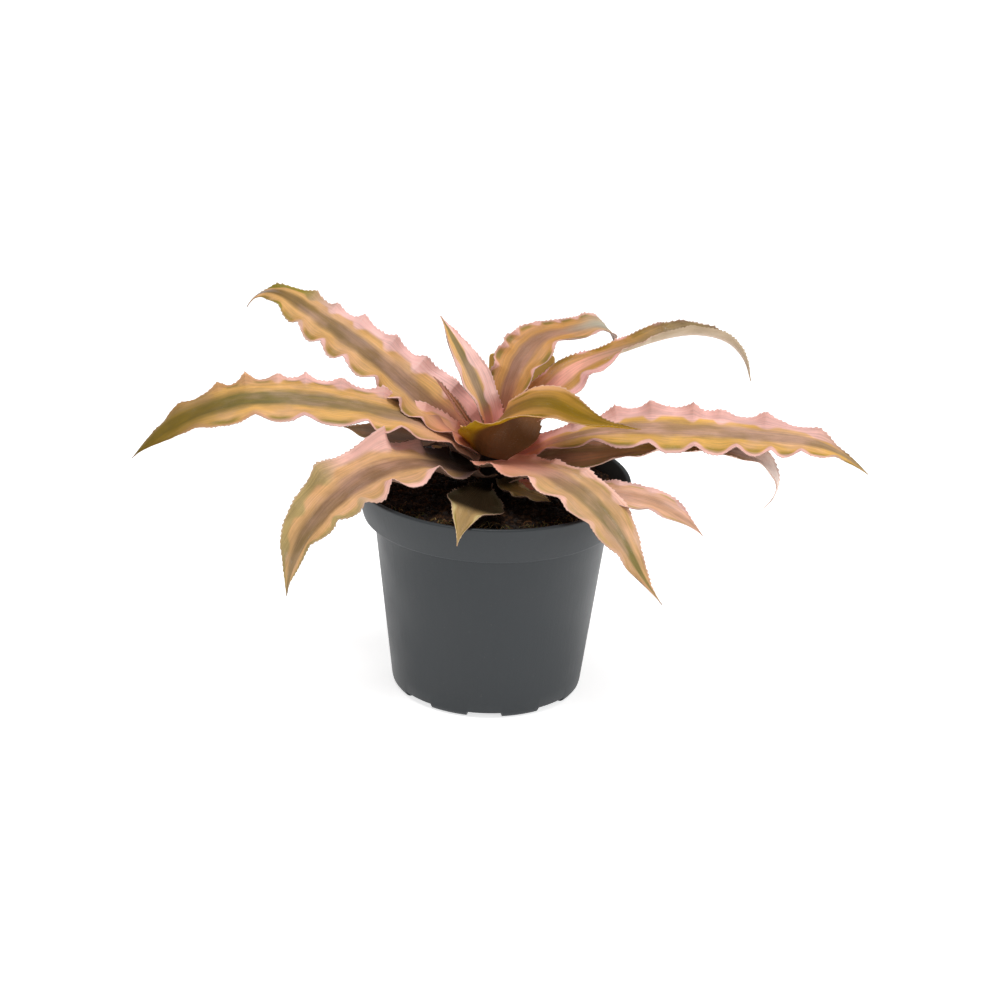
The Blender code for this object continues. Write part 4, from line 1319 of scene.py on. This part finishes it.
def many(name, shapes, faces, tones):
    """One piece from many copies of a small mesh, with one tone stored for each copy."""
    count, size = shapes.shape[:2]
    all_faces = (np.asarray(faces)[None] + size * np.arange(count)[:, None, None]).reshape(-1, 4)
    piece = add_piece(name, shapes * MM, all_faces)
    add_values(piece, "tone", np.repeat(tones, size))
    return piece


# %% Crumbs
CRUMBS, CRUMB_RING = 900, (7, 54.3)  # how many, and between which radii
CUBE = np.array([(x, y, z) for z in (-1, 1) for y in (-1, 1) for x in (-1, 1)]) / 2
CUBE_FACES = ((0, 2, 3, 1), (4, 5, 7, 6), (0, 1, 5, 4), (2, 6, 7, 3), (0, 4, 6, 2), (1, 3, 7, 5))


def crumb_shapes(count):
    """Cubes with every corner pushed at random, times a random size and three random lengths."""
    bent = CUBE[None] + random.uniform(-0.3, 0.3, (count, 8, 3))
    return bent * (random.uniform(0.5, 1.9, (count, 1, 1)) * random.uniform(0.5, 1.2, (count, 1, 3)))


shapes = crumb_shapes(CRUMBS)
shapes = shapes + scatter(CRUMBS, -180, 180, *CRUMB_RING)[:, None]
crumbs = many("soil_crumbs", shapes, CUBE_FACES, random.uniform(0, 0.35, CRUMBS))
print(CRUMBS, "crumbs,", len(crumbs.data.polygons), "faces")

# %% [markdown]
# Dry moss and root fibres gather at the front, by the lip. Each strand is a thin tube along a line
# that wanders over the soil. A curve object with a round bevel would look the same, but hundreds
# of them would be slow, and as one array they take a few lines.

# %% Strands of moss
STRANDS, STRAND_STATIONS, STRAND_SIDES = 520, 6, 3
MOSS_ARC, MOSS_RING = (-150, -35), (42, 54.6)  # degrees, and millimetres from the middle
LIP_RADIUS = 54.8  # mm, which keeps the strands off the collar's wall


def strand_paths(count):
    """Wandering lines on the soil by the lip, and the direction of each at every station.

    Each line turns by the same small angle at every step. Its steps are added up, centred on its
    place and drawn in to the lip's radius, and it rises above the soil as the arch of a sine.
    """
    start = scatter(count, *MOSS_ARC, *MOSS_RING)
    heading = random.uniform(0, 2 * np.pi, count)[:, None]
    heading = heading + np.linspace(0, 1, STRAND_STATIONS) * random.normal(0, 0.9, (count, 1))
    pace = random.uniform(2, 7, count)[:, None] / STRAND_STATIONS
    path = np.stack([np.cumsum(np.cos(heading), 1) * pace, np.cumsum(np.sin(heading), 1) * pace], -1)
    path = start[:, None, :2] + path - path.mean(1, keepdims=True)
    path = path / np.maximum(np.linalg.norm(path, axis=-1, keepdims=True) / LIP_RADIUS, 1)
    arch = np.sin(np.linspace(0, np.pi, STRAND_STATIONS)) * random.uniform(0.3, 1.8, (count, 1))
    level = soil_height(path[..., 0], path[..., 1]) + arch
    return np.concatenate([path, level[..., None]], -1), heading


def strand_shapes(count):
    """Tubes round those lines: each point plus a small ring of directions across it and up."""
    path, heading = strand_paths(count)
    corner = np.linspace(0, 2 * np.pi, STRAND_SIDES, endpoint=False)
    across = np.stack([-np.sin(heading), np.cos(heading), heading * 0], -1)
    across = across[:, :, None] * np.cos(corner)[:, None]
    thick = random.uniform(0.09, 0.2, (count, 1, 1, 1))
    tube = path[:, :, None] + thick * (across + UP * np.sin(corner)[:, None])
    return tube.reshape(count, -1, 3)


strand_faces = grid_faces(STRAND_STATIONS, STRAND_SIDES, wrap=True)[:, ::-1]
strands = many("moss_strands", strand_shapes(STRANDS), strand_faces, random.uniform(0, 1, STRANDS))
print(STRANDS, "strands,", len(strands.data.polygons), "faces")

# %% [markdown]
# Crumbs and strands are peat, bark, moss and straw, mostly dark. A material for each would be a lot
# of nodes for specks, so one material picks a colour by the tone that every copy carries.

# %% The finish of crumbs and strands
def moss_material(name):
    """Dark to brown, green or straw by each copy's own tone, and mottled all over."""
    made, tree, shader = new_material(name)
    tone = stored(tree, "tone")
    colour = mixed(tree, between(tree, tone, 0.2, 0.6), paint(30, 18, 10), paint(116, 74, 36))
    colour = mixed(tree, between(tree, tone, 0.6, 0.8), colour, paint(84, 82, 30))
    colour = mixed(tree, between(tree, tone, 0.85, 0.95), colour, paint(168, 134, 88))
    mottled = between(tree, noise(tree, own_place(tree), 1300.0, detail=3.0), 0.3, 0.7, 0.7, 1.2)
    join(tree, shaded(tree, colour, mottled), shader.inputs["Base Color"])
    shader.inputs["Roughness"].default_value = 0.85
    return made


dry_moss = moss_material("dry_moss")
for piece in (crumbs, strands):
    piece.data.materials.append(dry_moss)
print("crumbs and strands share", dry_moss.name)

# %% [markdown]
# ## The stem
# The stem is short and woody, and the leaf feet hide it almost completely. A bumpy bark would
# never be seen, so it is turned on the same lathe as the pot and takes the same matt finish.

# %% The stem
STEM_OUTLINE = ((0, 74.5, 0), (5.5, 74.5, 1), (5.5, 108, 2), (2.5, 113, 1), (0, 113, 0))
turn = np.linspace(0, 2 * np.pi, 48, endpoint=False)
points, poles, faces, ends = turned(rounded(STEM_OUTLINE), turn)
points = np.vstack([points.reshape(-1, 3), poles])
stem = add_piece("stem_core", points * MM, [*faces, *ends])
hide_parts("stem")
stem.data.materials.append(plastic_material("stem_bark", (20, 11, 8), dust=0))
print("stem:", len(stem.data.polygons), "faces")

# %% [markdown]
# ## The plant label
# A grower's label is cut from a thin sheet: a wide head to read and a narrow stake that goes into
# the soil. Only a corner or two of it shows between the leaves, and this one is left blank. A box
# with a Bevel modifier would do for the head but not for the stake's shoulders. So the outline is
# drawn flat, its corners are rounded as for the pot, and the edge is eased by a ring set in a
# little on both faces, which catches light.

# %% The label as a rounded plate
LABEL_OUTLINE = (
    (0, 70, 0), (4.5, 78, 1.5), (4.5, 106, 5), (14.5, 114, 5), (14.5, 136, 2), (-14.5, 136, 2),
    (-14.5, 114, 5), (-4.5, 106, 5), (-4.5, 78, 1.5), (0, 70, 0),
)
LABEL_PLACE, LABEL_HALF_THICK, LABEL_EASED = (11, 45), 0.5, 0.2
LABEL_RINGS = ((LABEL_EASED, -1), (0, -0.6), (0, 0.6), (LABEL_EASED, 1))  # set in, and how far back


def plate(outline, place):
    """Four copies of a closed outline, from the front face to the back one, one behind the other.

    The copies on the two faces are set in along the outline's normal, which is its direction
    turned by a quarter.
    """
    run = np.roll(outline, -1, axis=0) - np.roll(outline, 1, axis=0)
    inward = np.stack([-run[:, 1], run[:, 0]], -1) / np.linalg.norm(run, axis=1, keepdims=True)
    rings = []
    for set_in, depth in LABEL_RINGS:
        flat = outline + inward * set_in
        behind = flat[:, 0] * 0 + place[1] + depth * LABEL_HALF_THICK
        rings.append(np.stack([flat[:, 0] + place[0], behind, flat[:, 1]], -1))
    return np.stack(rings)


points = plate(rounded(LABEL_OUTLINE)[:-1], LABEL_PLACE)
rings, corners = points.shape[:2]
sides = grid_faces(rings, corners, wrap=True)[:, ::-1].tolist()
front = list(range(corners))
back = list(range(rings * corners - 1, (rings - 1) * corners - 1, -1))
label = add_piece("label_plate", points * MM, [*sides, front, back], smooth=False)
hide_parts("plant_label")
label.data.materials.append(plastic_material("label_sheet", (206, 164, 84), dust=0.2))
print("label:", corners, "points round its edge")

# %% [markdown]
# ## Floor, light and camera
# The setting is a white sweep with soft light. A curved backdrop would do, but a flat floor under
# a white sky gives the same even ground from every side. The floor glows a little, so that it
# stays white under the plant and the shadow on it is only faint.

# %% The floor and the air
FLOOR_GLOW, AIR_LIGHT = 0.7, 0.33

floor_mesh = bpy.data.meshes.new("studio_floor")
floor_mesh.from_pydata([(-6, -6, 0), (6, -6, 0), (6, 6, 0), (-6, 6, 0)], [], [(0, 1, 2, 3)])
floor = bpy.data.objects.new("studio_floor", floor_mesh)
bpy.context.scene.collection.objects.link(floor)
sweep, tree, shader = new_material("white_sweep")
shader.inputs["Base Color"].default_value = (0.9, 0.9, 0.9, 1)
shader.inputs["Roughness"].default_value = 0.9
shader.inputs["Emission Color"].default_value = (1, 1, 1, 1)
shader.inputs["Emission Strength"].default_value = FLOOR_GLOW
floor.data.materials.append(sweep)

scene = bpy.context.scene
scene.view_settings.view_transform = "Standard"
scene.world = bpy.data.worlds.new("studio_air")
scene.world.use_nodes = True
air = scene.world.node_tree.nodes["Background"]
air.inputs["Color"].default_value = (1, 1, 1, 1)
air.inputs["Strength"].default_value = AIR_LIGHT
print("the floor glows with a strength of", FLOOR_GLOW, "and the air with", AIR_LIGHT)

# %% [markdown]
# Small lights would cut hard shadows into the rosette. So one large light hangs above, and a
# weaker one stands to the right, which gives the pot its pale right edge.

# %% The lights
HEART_OF_PLANT = Vector((0, 0, 0.08))


def add_area(name, place, size, power):
    """A square soft light that faces the plant."""
    light = bpy.data.lights.new(name, "AREA")
    light.size = size
    light.energy = power
    made = bpy.data.objects.new(name, light)
    made.location = place
    made.rotation_euler = (HEART_OF_PLANT - made.location).to_track_quat("-Z", "Y").to_euler()
    scene.collection.objects.link(made)


add_area("top_light", (-0.1, -0.25, 1.5), size=0.7, power=13)
add_area("side_light", (1.3, -0.3, 0.5), size=0.8, power=4.4)

# %% [markdown]
# The camera looks down on the plant from the front with a long lens, so that near and far leaves
# are drawn at nearly the same scale, and is turned a little about its line of sight. Three
# directions at right angles make its matrix.

# %% The camera
CAMERA_DISTANCE, CAMERA_RISE, CAMERA_ROLL = 1.2, np.radians(22.15), np.radians(2.03)
AIM = Vector((0.0035, 0, 0.0848))
looking = Vector((0, np.cos(CAMERA_RISE), -np.sin(CAMERA_RISE)))
lens = bpy.data.cameras.new("camera")
lens.lens = 100
lens.sensor_width = 36
camera = bpy.data.objects.new("camera", lens)
level = Vector((1, 0, 0))
upright = level.cross(looking)
side = level * np.cos(CAMERA_ROLL) + upright * np.sin(CAMERA_ROLL)
top = upright * np.cos(CAMERA_ROLL) - level * np.sin(CAMERA_ROLL)
turned_to = Matrix((side, top, -looking)).transposed().to_4x4()
camera.matrix_world = Matrix.Translation(AIM - looking * CAMERA_DISTANCE) @ turned_to
scene.collection.objects.link(camera)
scene.camera = camera
print("the camera stands at", [round(value, 3) for value in camera.matrix_world.translation])
